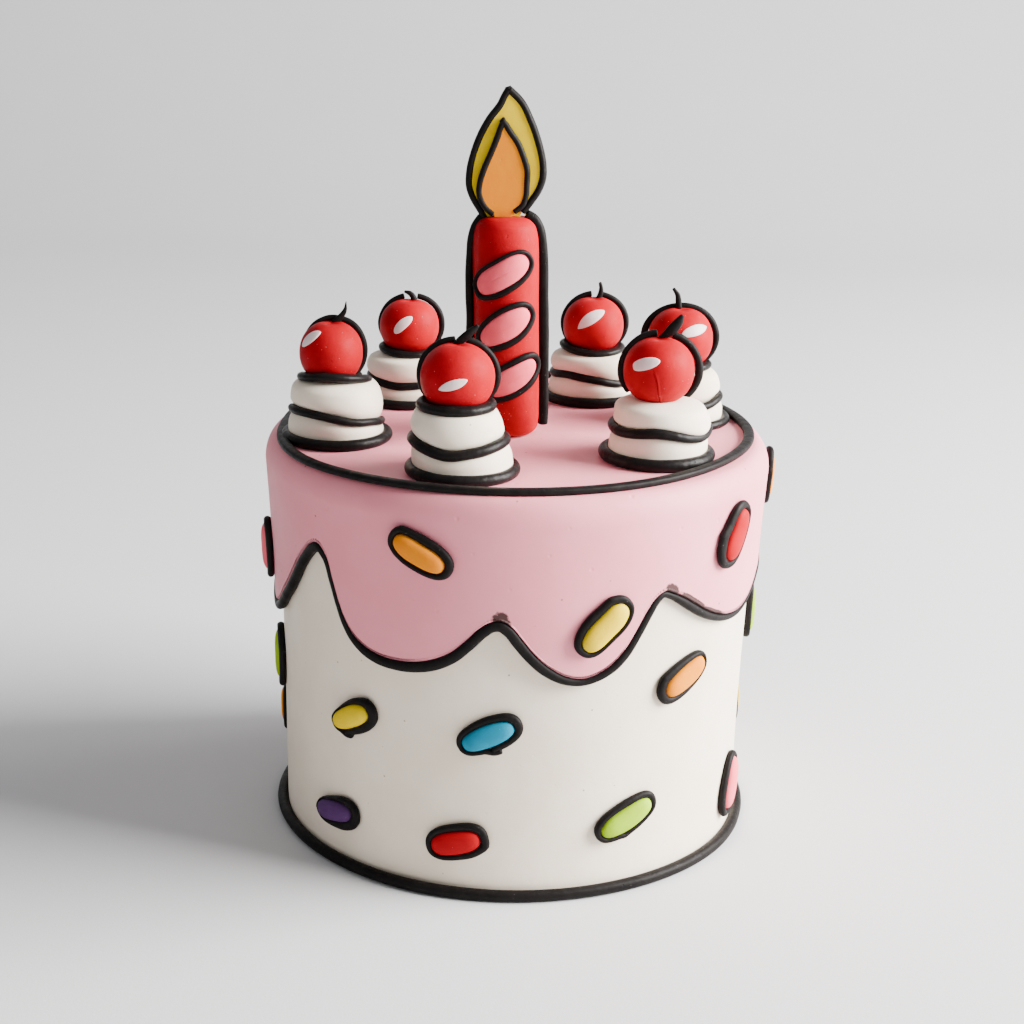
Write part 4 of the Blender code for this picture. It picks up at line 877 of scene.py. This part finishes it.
class CAKE_OT_skin(bpy.types.Operator):
    """The pink skin: over the top, round the shoulder and down to the drips' cut edge."""
    bl_idname = "cake.skin"
    bl_label = "Pink Skin"

    def execute(self, context):
        """Each column climbs from a point of the drips' edge. Its azimuth eases from the edge's own to
        an even spread; the height runs to the shoulder, then a quarter ellipse leads to the flat top."""
        s = sizes()
        count = 760
        edge_az, edge_z, thickness = drip_points(count)
        even_az = FRONT_DRIPS[0][0] + np.arange(count) * 360.0 / count
        climb = np.roll(edge_z, -1) - np.roll(edge_z, 1)
        across = np.radians((np.roll(edge_az, -1) - np.roll(edge_az, 1)) % 360.0) * s.base_radius
        length = np.hypot(climb, across)
        offset = thickness * 0.45
        edge_az = edge_az - np.degrees(offset * climb / length / s.base_radius)
        edge_z = edge_z + offset * across / length

        def column_row(share, lift, extra=0.0):
            ease = share * share * (3.0 - 2.0 * share)
            azimuths = edge_az + (even_az - edge_az) * ease
            heights = edge_z + (shoulder_start() - edge_z) * share + extra
            radius = wall(azimuths, heights) + lift
            if lift > s.skin * 0.5:
                radius = radius + skin_wall(azimuths, heights) - wall(azimuths, heights) - s.skin
            return round_points(azimuths, radius, heights)

        rows = [round_points(even_az, 0.02, s.height - s.skin),
                round_points(even_az, 0.06, s.height - s.skin)]
        for angle in np.linspace(math.pi / 2.0, 0.0, 6):
            inset = WHITE_SHOULDER * (1.0 - math.cos(angle))
            level = shoulder_start() + (s.shoulder_drop - s.skin) * math.sin(angle)
            rows.append(round_points(even_az, wall(even_az, shoulder_start()) - inset, level))
        rows += [column_row(share, 0.0) for share in np.linspace(1.0, 0.0, 9)[1:-1]]
        for up, out in ((0.45, 0.02), (0.10, 0.25), (0.0, 0.50), (0.12, 0.76), (0.40, 0.93), (0.85, 1.0)):
            rows.append(column_row(0.0, out * s.skin, up * s.skin * 0.6))
        rows += [column_row(share, s.skin) for share in np.linspace(0.0, 1.0, 46)[1:] ** 1.15]
        outer = skin_wall(even_az, shoulder_start())
        for angle in np.linspace(0.0, math.pi / 2.0, 13)[1:]:
            radius = outer - s.shoulder_width * (1.0 - math.cos(angle))
            rows.append(round_points(even_az, radius, top_height(even_az, radius)))
        flat = outer - s.shoulder_width
        for share in (0.97, 0.92, 0.85, 0.76, 0.66, 0.55, 0.44, 0.33, 0.22, 0.12, 0.05):
            rows.append(round_points(even_az, flat * share, top_height(even_az, flat * share)))
        grid = grid_mesh(np.array(rows), first_pole=True, last_pole=True)
        points = grid[0]
        azimuths = np.degrees(np.arctan2(points[:, 0], -points[:, 1]))
        edge_here = np.interp(azimuths, *self.line_by_azimuth(edge_az, edge_z), period=360.0)
        above = (points[:, 2] - edge_here) / MM
        # Painted shade: a dark mark above the drips' edge at some cusps, fading upwards
        smear = np.zeros(len(points))
        for middle, reach, high in PAINTED_CUSP_SHADES:
            smear = np.maximum(smear, np.exp(-((azimuths - middle) / reach) ** 2)
                               * np.clip(1.4 - (above - 0.5) / high, 0.0, 1.0))
        # The dark red-brown colour given to the pink paste here is painted shade in the gaps at the cusps
        pink = paste("sugar_pink", colour_of("pink"), (0.965, 0.90, 0.90), 0.55, patch_scale=34.0,
                     speck=(0.36, 0.09, 0.10, 1.0), speck_share=0.16, speck_scale=200.0, subsurface=0.10,
                     specular=0.25, grain=(2500.0, 0.012), swell=(95.0, 0.22), pit=(150.0, 0.16),
                     painted_shade=("smear", (0.060, 0.021, 0.021, 1.0)))
        piece("pink_skin", [grid], pink, "pink_paste", nodes=["pink_icing"], marks={"smear": smear})
        return {"FINISHED"}

    @staticmethod
    def line_by_azimuth(azimuths, heights):
        """The edge's points in order of azimuth between -180 and 180 degrees."""
        wrapped = (azimuths + 180.0) % 360.0 - 180.0
        order = np.argsort(wrapped)
        return wrapped[order], heights[order]


class CAKE_OT_outlines(bpy.types.Operator):
    """The ropes along the drips, round the top and round the foot of the cake."""
    bl_idname = "cake.outlines"
    bl_label = "Cake Outlines"

    def execute(self, context):
        s = sizes()
        azimuths, heights, thickness = drip_points(1100)
        depth = 0.5 * thickness + 0.5 * s.drip_rope
        path = round_points(azimuths, wall(azimuths, heights) + depth * 0.47, heights)
        piece("drip_rope", [rope(path, round_points(azimuths, 1.0, 0.0), thickness, depth, 3, closed=True,
                                 sides=20, square=2.2, wobble=0.04)],
              black_paste(), "black_paste", nodes=["drip_outline"])
        azimuths = np.linspace(0.0, 360.0, 760, endpoint=False)
        angles = np.radians(azimuths)
        radii = TOP_ROPE_RADIUS - TOP_ROPE_SHIFT * np.sin(angles) - TOP_ROPE_OVAL * np.sin(2.0 * angles)
        for middle, reach, out in TOP_ROPE_BULGES:
            radii = radii + out * np.exp(-((azimuths - middle) / reach) ** 2)
        radii = radii + 0.00012 * ripple(azimuths / 360.0, 41, 9, first=3)
        heights = top_height(azimuths, radii - 0.001) + s.top_rope_height * 0.47
        piece("top_rope", [rope(round_points(azimuths, radii, heights), TO_SKY, s.top_rope_width,
                                s.top_rope_height, 5, closed=True, sides=22, square=2.9, wobble=0.04)],
              black_paste(), "black_paste", nodes=["top_outline"])
        heights = s.base_rope * 0.5
        radii = (wall(azimuths, 0.002) + s.base_rope * 0.46
                 + 0.00025 * ripple(azimuths / 360.0, 43, 12, first=2))
        piece("foot_rope", [rope(round_points(azimuths, radii, heights), TO_SKY, s.base_rope,
                                 s.base_rope * 0.98, 7, closed=True, sides=20, square=2.1, wobble=0.05)],
              black_paste(), "black_paste", nodes=["base_outline"])
        return {"FINISHED"}


class CAKE_OT_sprinkles(bpy.types.Operator):
    """The coloured sprinkles on the wall and the skin, each with a black rope round it."""
    bl_idname = "cake.sprinkles"
    bl_label = "Sprinkles"

    def execute(self, context):
        s = sizes()
        for number, row in enumerate(SPRINKLES, 1):
            azimuth, height, tilt, length, width, colour, on_skin, start, round_share, thick, right, up = row
            place = wall_placer(azimuth, height * MM, tilt, s.skin if on_skin else 0.0)
            spine, off = pill_outline((length + 1.8) * MM, (width - 0.4) * MM, 72, 100 + number, 0.05)
            top = s.sprinkle_top * (1.26 + 0.08 * math.sin(2.3 * number))
            piece(f"sprinkle_{number:02d}_fill", [dome(place, spine, off, top, 0.0006, 0.5)],
                  bright_paste(colour), f"{colour}_paste", nodes=[f"sprinkle_{number:02d}"])
            turns = start + np.linspace(0.0, round_share, 170)
            grid = one_sided_rope(place, spine, off, thick * MM, more_to(right, up, tilt), turns,
                                  300 + number, SPRINKLE_ROPE_DEPTH)
            piece(f"sprinkle_{number:02d}_outline", [grid], black_paste(), "black_paste")
        return {"FINISHED"}


def sway(puff, heights):
    """How far the white of a puff leans to the right at these heights."""
    table = np.array(puff["sway"])
    return np.interp(heights, table[:, 0], table[:, 1])


def puff_body(puff, columns=112):
    """The white of a puff: a smooth outline of radii and heights, turned round its axis. The groove
    for the middle rope follows that rope's height round the puff, and the axis leans to the side."""
    azimuths = np.linspace(0.0, 360.0, columns, endpoint=False)
    groove = round_curve(puff["middle"], azimuths)
    mean = groove.mean()
    top_z = puff["rest_z"]
    foot_r, low, up, up_z = puff["foot"], puff["low"], puff["up"], puff["up_z"]
    rim = puff["collar"] - 0.4 if puff["collar"] else up - 4.4
    rim_z = top_z - 1.9 if puff["collar"] else top_z - 0.9
    rows = [(low - 2.4, 0.1, 0.0), (low - 0.9, 0.9, 0.05), (low - 0.15, 2.6, 0.15), (low, mean * 0.45, 0.35),
            (low - 0.25, mean * 0.66, 0.7), (low - 1.3, mean - 1.6, 0.95), (min(low, up) - 2.6, mean, 1.0),
            (up - 1.2, mean + 1.5, 0.95), (up - 0.1, (mean + 1.5 + up_z) / 2.0 + 0.3, 0.75), (up, up_z, 0.5),
            (up - 0.3, (2.0 * up_z + rim_z) / 3.0, 0.3), (up - 1.15, (up_z + 2.4 * rim_z) / 3.4, 0.12)]
    if puff["collar"]:
        rows += [(rim + 0.4, rim_z, 0.0), (rim - 2.6, rim_z + 0.9, 0.0), (rim * 0.45, rim_z + 1.1, 0.0)]
    else:
        rows += [(rim, rim_z, 0.0), (rim - 2.8, rim_z + 0.75, 0.0), (rim * 0.5, rim_z + 0.8, 0.0)]
    profile = smooth_line(np.array(rows), 76)
    turns = azimuths / 360.0
    grid = []
    for radius, level, share in profile:
        out = radius * (1.0 + 0.010 * ripple(turns + level * 0.01, int(puff["foot"] * 100), 4, first=2))
        height = level + share * (groove - mean)
        if not puff["collar"]:
            sag = np.exp(-(((azimuths + 180.0) % 360.0 - 180.0 - 52.0) / 34.0) ** 2)
            belly = np.exp(-((level - 15.0) / 3.4) ** 2)
            out = out + 1.7 * sag * belly
            height = height - 1.1 * sag * np.exp(-((level - 15.5) / 4.0) ** 2)
        points = round_points(azimuths, out, height)
        points[:, 0] += puff["x"] + sway(puff, level)
        points[:, 1] += puff["y"]
        grid.append(points)
    grid = np.array(grid) * MM
    grid[:, :, 2] += sizes().height
    return grid_mesh(grid, first_pole=True, last_pole=True)


def puff_rope(puff, radius, pairs, span, width, depth, seed, square=2.0):
    """A rope round a puff at this radius, over a span of azimuths, at the heights of the pairs. It is
    this wide towards the puff's middle, and this deep up and down."""
    closed = span is None
    azimuths = np.linspace(0.0, 360.0, 220, endpoint=False) if closed else np.linspace(*span[:2], 220)
    heights = round_curve(pairs, azimuths)
    path = round_points(azimuths, radius + 0.10 * ripple(azimuths / 360.0, seed, 4), heights)
    path[:, 0] += puff["x"] + sway(puff, heights)
    path[:, 1] += puff["y"]
    path = path * MM + (0.0, 0.0, sizes().height)
    return rope(path, TO_SKY, width * MM, depth * MM, seed, closed=closed, square=square, ends=SOFT_END)


class CAKE_OT_puffs(bpy.types.Operator):
    """The six puffs on the top: two white tiers with ropes round the foot, the middle and the top."""
    bl_idname = "cake.puffs"
    bl_label = "Puffs"

    def execute(self, context):
        for number, puff in enumerate(PUFFS, 1):
            piece(f"puff_{number}_white", [puff_body(puff)], white_paste(), "white_paste",
                  nodes=[f"puff_{number}"])
            foot, middle, top = puff["widths"]
            seed = 400 + 10 * number
            grids = [puff_rope(puff, puff["foot"] - foot / 2.0, ((0, foot * 0.48), (180, foot * 0.48)), None,
                               foot, foot, seed)]
            for index, span in enumerate(puff["middle_spans"]):
                grids.append(puff_rope(puff, puff["middle_r"] - middle / 2.0 - span[2], puff["middle"], span,
                                       middle, middle, seed + 1 + index))
            for index, span in enumerate(puff["top_spans"]):
                wide = top + 1.6
                grids.append(puff_rope(puff, puff["collar"] - wide / 2.0 - span[2], puff["top"], span, wide,
                                       top, seed + 5 + index, square=2.3))
            piece(f"puff_{number}_ropes", grids, moist_black_paste(), "black_paste")
        return {"FINISHED"}


def cherry_middle(puff):
    """The middle of a puff's cherry."""
    middle = np.array((puff["x"] + puff["lean"], puff["y"], puff["cherry_z"]))
    return middle * MM + (0.0, 0.0, sizes().height)


def cherry_point(puff, azimuths, latitudes):
    """Points of a cherry, in millimetres from its middle: the squat ball R cos(l)^0.88, h sin(l)^0.95,
    with a round dimple at the top."""
    flat = puff["cherry"] * np.maximum(np.cos(np.radians(latitudes)), 0.0) ** 0.88
    rise = np.sin(np.radians(latitudes))
    high = puff["cherry_h"] * np.sign(rise) * np.abs(rise) ** 0.95
    high = high - 1.1 * np.exp(-(flat / 2.6) ** 2) * (np.asarray(latitudes) > 0.0)
    return round_points(azimuths, flat, high)


def shine_placer(puff, near, far):
    """place(u, v, lift) on a cherry: u runs from the near tip to the far tip along the great circle,
    v across it, both in millimetres from the middle; lift is added along the ray."""
    tips = [round_points(azimuth, math.cos(math.radians(rise)), math.sin(math.radians(rise)))
            for azimuth, rise in (near, far)]
    middle = unit(tips[0] + tips[1])
    along = unit(tips[1] - tips[0])
    aside = np.cross(middle, along)
    size = np.array((puff["cherry"], puff["cherry"], puff["cherry_h"]))

    def place(u, v, lift):
        direction = unit(middle + (u[:, None] * along + v[:, None] * aside) / puff["cherry"])
        latitudes = np.degrees(np.arcsin(np.clip(direction[:, 2], -1.0, 1.0)))
        azimuths = np.degrees(np.arctan2(direction[:, 0], -direction[:, 1]))
        points = cherry_point(puff, azimuths, latitudes)
        return (points + unit(direction * size) * lift) * MM + cherry_middle(puff)
    return place, math.acos(float(np.clip(tips[0] @ tips[1], -1.0, 1.0))) * puff["cherry"]


class CAKE_OT_cherries(bpy.types.Operator):
    """The cherries, their white shines, and the ropes and stems that outline them."""
    bl_idname = "cake.cherries"
    bl_label = "Cherries"

    def execute(self, context):
        shine_paste = paste("sugar_shine", (0.80, 0.66, 0.66), (0.92, 0.86, 0.86), 0.45, speck_share=0.0,
                            patch_scale=300.0, grain_share=0.2, grain=(1800.0, 0.03), swell=(420.0, 0.10))
        for number, puff in enumerate(PUFFS, 1):
            self.ball(number, puff)
            near, far, width, blunt_near, blunt_far = puff["shine"]
            place, length = shine_placer(puff, near, far)
            turn = np.linspace(0.0, FULL_TURN, 72, endpoint=False)
            blunt = np.where(np.cos(turn) < 0.0, blunt_near, blunt_far)
            side = np.sign(np.sin(turn)) * np.abs(np.sin(turn)) ** (1.0 / blunt)
            off = np.stack((np.cos(turn) * length / 2.0,
                            side * width / 2.0 * (1.0 + 0.06 * ripple(turn / FULL_TURN, number, 3))),
                            axis=-1)
            piece(f"cherry_{number}_shine", [dome(place, np.zeros_like(off), off, 0.45, 0.5, 0.45, rings=9)],
                  shine_paste, "white_paste")
            self.outline(number, puff)
        return {"FINISHED"}

    @staticmethod
    def ball(number, puff):
        """The cherry itself; the one without a collar under it has a fine crease down its front."""
        creased = puff["collar"] is None
        azimuths = np.linspace(0.0, 360.0, 300 if creased else 96, endpoint=False)
        latitudes = np.linspace(-74.0, 88.5, 84 if creased else 60)
        grid = cherry_point(puff, azimuths[None, :], latitudes[:, None])
        turns = azimuths[None, :] / 360.0
        grid = grid * (1.0 + 0.006 * ripple(turns + latitudes[:, None] * 0.004, 60 + number, 3))[..., None]
        if creased:
            line = np.interp(latitudes, (-60.0, -50.0, -25.0, -6.0, 10.0), (1.5, 0.4, -4.7, -7.7, -14.1))
            away = ((azimuths[None, :] + 180.0) % 360.0 - 180.0 - line[:, None]) / 1.15
            fade = np.clip((12.0 - latitudes) / 10.0, 0.0, 1.0)[:, None]
            groove = (0.42 * np.exp(-away ** 2) - 0.16 * np.exp(-((away - 2.2) / 1.6) ** 2)) * fade
            grid = grid - unit(grid) * groove[..., None]
        points = grid * MM + cherry_middle(puff)
        piece(f"cherry_{number}_ball", [grid_mesh(points, first_pole=True, last_pole=True)],
              bright_paste("red"), "red_paste", nodes=[f"cherry_{number}"])

    @staticmethod
    def outline(number, puff):
        """Two arcs of rope behind the cherry, an ellipse (A cos t, H sin t) in a plane across the
        view, and the stem, a tapering rope through a few points."""
        right, above, wider, higher = puff["arc"]
        middle = cherry_middle(puff) + np.array((right, CHERRY_ROPE_SETBACK, above)) * MM
        share = math.sqrt(1.0 - (CHERRY_ROPE_SETBACK / puff["cherry"]) ** 2)
        width = puff["arc_width"]
        wide = puff["cherry"] * share + width * 0.48 + wider
        high = puff["cherry_h"] * share + width * 0.48 + higher
        grids = []
        for index, (start, stop) in enumerate(puff["arc_spans"]):
            angles = np.radians(np.linspace(start, stop, 90))
            wave = 1.0 + 0.012 * ripple(angles / FULL_TURN, 700 + 10 * number + index, 4)
            path = np.stack((wide * wave * np.cos(angles), 0.0 * angles, high * wave * np.sin(angles)),
                            axis=-1)
            out = np.stack((np.cos(angles), 0.0 * angles, np.sin(angles)), axis=-1)
            grids.append(rope(path * MM + middle, out, width * MM, width * MM, 720 + 10 * number + index,
                              sides=16, ends=CUT_END))
        top = puff["cherry_h"] * 0.98
        rows = np.array([(right, CHERRY_ROPE_SETBACK * 0.55, top + above, thick)
                         for right, above, thick in puff["stem"]])
        curve = smooth_line(rows, 40)
        grids.append(rope(curve[:, :3] * MM + cherry_middle(puff), TO_FRONT, curve[:, 3] * MM,
                          curve[:, 3] * 0.8 * MM, 740 + number, sides=14, ends=SOFT_END, wobble=0.03))
        piece(f"cherry_{number}_outline", grids, black_paste(), "black_paste",
              nodes=[f"cherry_outline_{number}"])


def candle_placer(azimuth, level, tilt):
    """place(u, v, lift) on the candle: turned by the tilt, wrapped round its radius and lifted off
    it; the axis leans to the side with the height."""
    turn = math.radians(tilt)
    rows = np.array(CANDLE_ROWS)

    def place(u, v, lift):
        right = (u * math.cos(turn) - v * math.sin(turn)) / MM
        height = level + (u * math.sin(turn) + v * math.cos(turn)) / MM
        radius = np.interp(height, rows[:, 1], rows[:, 0]) + lift / MM
        points = round_points(azimuth + np.degrees(right / 12.3), radius, height)
        points[:, 0] += CANDLE_X + CANDLE_LEAN * height / CANDLE_HEIGHT
        points[:, 1] += CANDLE_Y
        return points * MM + (0.0, 0.0, sizes().height)
    return place


class CAKE_OT_candle(bpy.types.Operator):
    """The red candle with its two side ropes and the three outlined ovals."""
    bl_idname = "cake.candle"
    bl_label = "Candle"

    def execute(self, context):
        top = sizes().height
        azimuths = np.linspace(0.0, 360.0, 96, endpoint=False)
        profile = smooth_line(np.array(CANDLE_ROWS), 170)[1:-1]
        grid = []
        for radius, level in profile:
            out = radius * (1.0 + 0.008 * ripple(azimuths / 360.0 + level * 0.006, 81, 4, first=2))
            points = round_points(azimuths, out, level)
            points[:, 0] += CANDLE_X + CANDLE_LEAN * level / CANDLE_HEIGHT
            points[:, 1] += CANDLE_Y
            grid.append(points)
        grid = np.array(grid) * MM + (0.0, 0.0, top)
        piece("candle_red", [grid_mesh(grid, first_pole=True, last_pole=True)], bright_paste("red"),
              "red_paste", nodes=["candle_stick"])
        for index, (name, width, line) in enumerate(CANDLE_ROPES):
            curve = smooth_line(np.array([(x, CANDLE_Y, z) for x, z in line]), 200) * MM
            grid = rope(curve, TO_FRONT, width * MM, CANDLE_ROPE_DEPTH * MM, 90 + index, square=2.3,
                        wobble=0.06)
            piece(f"{name}_rope", [grid], black_paste(), "black_paste", nodes=[name])
        for number, (azimuth, level, length, width, tilt, thick, right, up) in enumerate(OVALS, 1):
            place = candle_placer(azimuth, level, tilt)
            spine, off = pill_outline(length * MM, width * MM, 80, 130 + number, 0.05)
            piece(f"candle_oval_{number}_fill", [dome(place, spine, off, 0.0021, 0.0005, 0.42)],
                  bright_paste("rose"), "rose_paste", nodes=[f"candle_oval_{number}"])
            turns = 0.55 + np.linspace(0.0, 1.0, 190)
            grid = one_sided_rope(place, spine, off, thick * MM, more_to(right, up, tilt), turns,
                                  150 + number, OVAL_ROPE_DEPTH)
            piece(f"candle_oval_{number}_outline", [grid], black_paste(), "black_paste")
        return {"FINISHED"}


def drop_line(edge, inset, count=150):
    """Points along a drop's edge, moved in, square to it, by the inset, in the candle's plane."""
    curve = smooth_line(np.array(edge), count)
    run = unit(np.gradient(curve, axis=0))
    return curve + np.stack((run[:, 1], -run[:, 0]), axis=-1) * inset


def drop_plate(edge, inset, front, thickness, foot):
    """A flat drop, closed below by the points of its foot. Its edge is a distance from the drop's
    middle for each angle, and every ring is that edge shrunk by a share s: flat faces up to 0.985,
    then a small bevel down to the edge."""
    middle = np.array(FLAME_MIDDLE)
    line = np.concatenate((drop_line(edge, inset), np.array(foot))) - middle
    angles = np.arctan2(line[:, 1], line[:, 0])
    order = np.argsort(angles)
    turns = np.linspace(-math.pi, math.pi, 260, endpoint=False)
    reach = np.interp(turns, angles[order], np.hypot(line[:, 0], line[:, 1])[order], period=FULL_TURN)
    line = middle + reach[:, None] * np.stack((np.cos(turns), np.sin(turns)), axis=-1)
    rings = [(s, 1.0) for s in (0.06, 0.2, 0.45, 0.7, 0.9, 0.96, 0.975, 0.985)] + [(1.0, 0.8)]
    grid = []
    for s, depth in [(s, -depth) for s, depth in rings] + rings[::-1]:
        flat = middle + (line - middle) * s
        level = np.full(len(flat), front + thickness / 2.0 * (1.0 + depth))
        grid.append(np.stack((flat[:, 0], level, flat[:, 1]), axis=-1))
    return grid_mesh(np.array(grid) * MM, first_pole=True, last_pole=True)


class CAKE_OT_flame(bpy.types.Operator):
    """The flame: a yellow drop and a smaller orange one before it, each inside a rope."""
    bl_idname = "cake.flame"
    bl_label = "Flame"

    def execute(self, context):
        for index, drop in enumerate(FLAMES):
            line = drop_line(drop["edge"], drop["rope_in"])
            level = np.full(len(line), CANDLE_Y - drop["rope_front"])
            path = np.stack((line[:, 0], level, line[:, 1]), axis=-1) * MM
            width, depth = (size * MM for size in drop["rope_size"])
            grid = rope(path, TO_FRONT, width, depth, 160 + index, sides=drop["sides"],
                        square=drop["square"])
            piece(drop["rope"], [grid], black_paste(), "black_paste", nodes=[drop["rope_node"]])
            grid = drop_plate(drop["edge"], drop["plate_in"], CANDLE_Y - drop["plate_front"],
                              drop["thickness"], drop["foot"])
            piece(drop["plate"], [grid], bright_paste(drop["colour"]), f"{drop['colour']}_paste",
                  nodes=[drop["plate_node"]])
        return {"FINISHED"}


def add_light(name, size, power, colour, place, aim):
    """A square area light at this place, pointing at the aim."""
    data = bpy.data.lights.new(name, "AREA")
    data.shape = "SQUARE"
    data.size = size
    data.energy = power
    data.color = colour
    item = bpy.data.objects.new(name, data)
    item.location = place
    item.rotation_euler = (Vector(aim) - Vector(place)).to_track_quat("-Z", "Y").to_euler()
    bpy.context.scene.collection.objects.link(item)


class CAKE_OT_stage(bpy.types.Operator):
    """The pale floor, the soft studio light and the camera at the photograph's angle."""
    bl_idname = "cake.stage"
    bl_label = "Stage"

    def execute(self, context):
        bend = np.linspace(0.0, math.pi / 2.0, 24)
        depth = np.concatenate(([-6.0, -2.0, 0.0, 1.0], 1.3 + 0.9 * np.sin(bend), [2.2]))
        level = np.concatenate((np.zeros(4), 0.9 - 0.9 * np.cos(bend), [4.0]))
        across = np.linspace(-6.0, 6.0, 13)
        points = np.stack(np.broadcast_arrays(across[:, None], depth, level), axis=-1).reshape(-1, 3)
        index = np.arange(len(points)).reshape(len(across), len(depth))
        quads = np.stack((index[:-1, :-1], index[1:, :-1], index[1:, 1:], index[:-1, 1:]), axis=-1)
        mesh = bpy.data.meshes.new("studio_floor")
        mesh.from_pydata(points.tolist(), [], quads.reshape(-1, 4).tolist())
        mesh.shade_smooth()
        floor = bpy.data.objects.new("studio_floor", mesh)
        context.scene.collection.objects.link(floor)
        mesh.materials.append(paste("studio_floor", colour_of("floor"), (0.985, 0.985, 0.985), 0.85,
                                    speck_share=0.0, patch_scale=6.0, grain_share=0.05,
                                    grain=(900.0, 0.05), swell=(60.0, 0.05), pit=(100.0, 0.0)))
        world = bpy.data.worlds.new("studio_air")
        world.use_nodes = True
        air = world.node_tree.nodes["Background"]
        air.inputs["Color"].default_value = AIR_COLOUR
        air.inputs["Strength"].default_value = AIR_STRENGTH
        context.scene.world = world
        for light in LIGHTS:
            add_light(*light)
        self.camera(context)
        return {"FINISHED"}

    @staticmethod
    def camera(context):
        """The camera before the cake, looking down by the pitch and rolled about its own axis."""
        yaw, pitch, roll = (math.radians(angle) for angle in (CAMERA_YAW, CAMERA_PITCH, CAMERA_ROLL))
        right = Vector((math.cos(yaw), -math.sin(yaw), 0.0))
        ahead = Vector((math.cos(pitch) * math.sin(yaw), math.cos(pitch) * math.cos(yaw), -math.sin(pitch)))
        up = Vector((math.sin(pitch) * math.sin(yaw), math.sin(pitch) * math.cos(yaw), math.cos(pitch)))
        along = math.cos(roll) * right + math.sin(roll) * up
        upward = -math.sin(roll) * right + math.cos(roll) * up
        data = bpy.data.cameras.new("photo_camera")
        data.sensor_width = SENSOR_WIDTH
        data.lens = FOCAL_PIXELS / PICTURE_PIXELS * SENSOR_WIDTH
        data.clip_start = 0.02
        data.clip_end = 100.0
        item = bpy.data.objects.new("photo_camera", data)
        turn = Matrix((along, upward, -ahead)).transposed()
        item.matrix_world = Matrix.Translation(CAMERA_PLACE) @ turn.to_4x4()
        context.scene.collection.objects.link(item)
        context.scene.camera = item


class CAKE_PT_panel(bpy.types.Panel):
    """The cake's sizes, colours and pieces."""
    bl_idname = "CAKE_PT_panel"
    bl_label = "Birthday Cake"
    bl_space_type = "VIEW_3D"
    bl_region_type = "UI"
    bl_category = "Cake"

    def draw(self, context):
        for settings in (context.scene.cake_sizes, context.scene.cake_colours):
            for name in settings.__annotations__:
                self.layout.prop(settings, name)
        for operator in OPERATORS:
            self.layout.operator(operator.bl_idname)


OPERATORS = (CAKE_OT_wall, CAKE_OT_skin, CAKE_OT_outlines, CAKE_OT_sprinkles, CAKE_OT_puffs,
             CAKE_OT_cherries, CAKE_OT_candle, CAKE_OT_flame, CAKE_OT_stage)
CLASSES = (CakeSizes, CakeColours) + OPERATORS + (CAKE_PT_panel,)


def register():
    """Add the classes and the scene's settings."""
    for item in CLASSES:
        bpy.utils.register_class(item)
    bpy.types.Scene.cake_sizes = bpy.props.PointerProperty(type=CakeSizes)
    bpy.types.Scene.cake_colours = bpy.props.PointerProperty(type=CakeColours)


def unregister():
    """Take them away again."""
    del bpy.types.Scene.cake_colours
    del bpy.types.Scene.cake_sizes
    for item in reversed(CLASSES):
        bpy.utils.unregister_class(item)


def main():
    """Build every piece and the stage."""
    register()
    for operator in OPERATORS:
        group_name, name = operator.bl_idname.split(".")
        getattr(getattr(bpy.ops, group_name), name)()


if __name__ == "__main__":
    main()
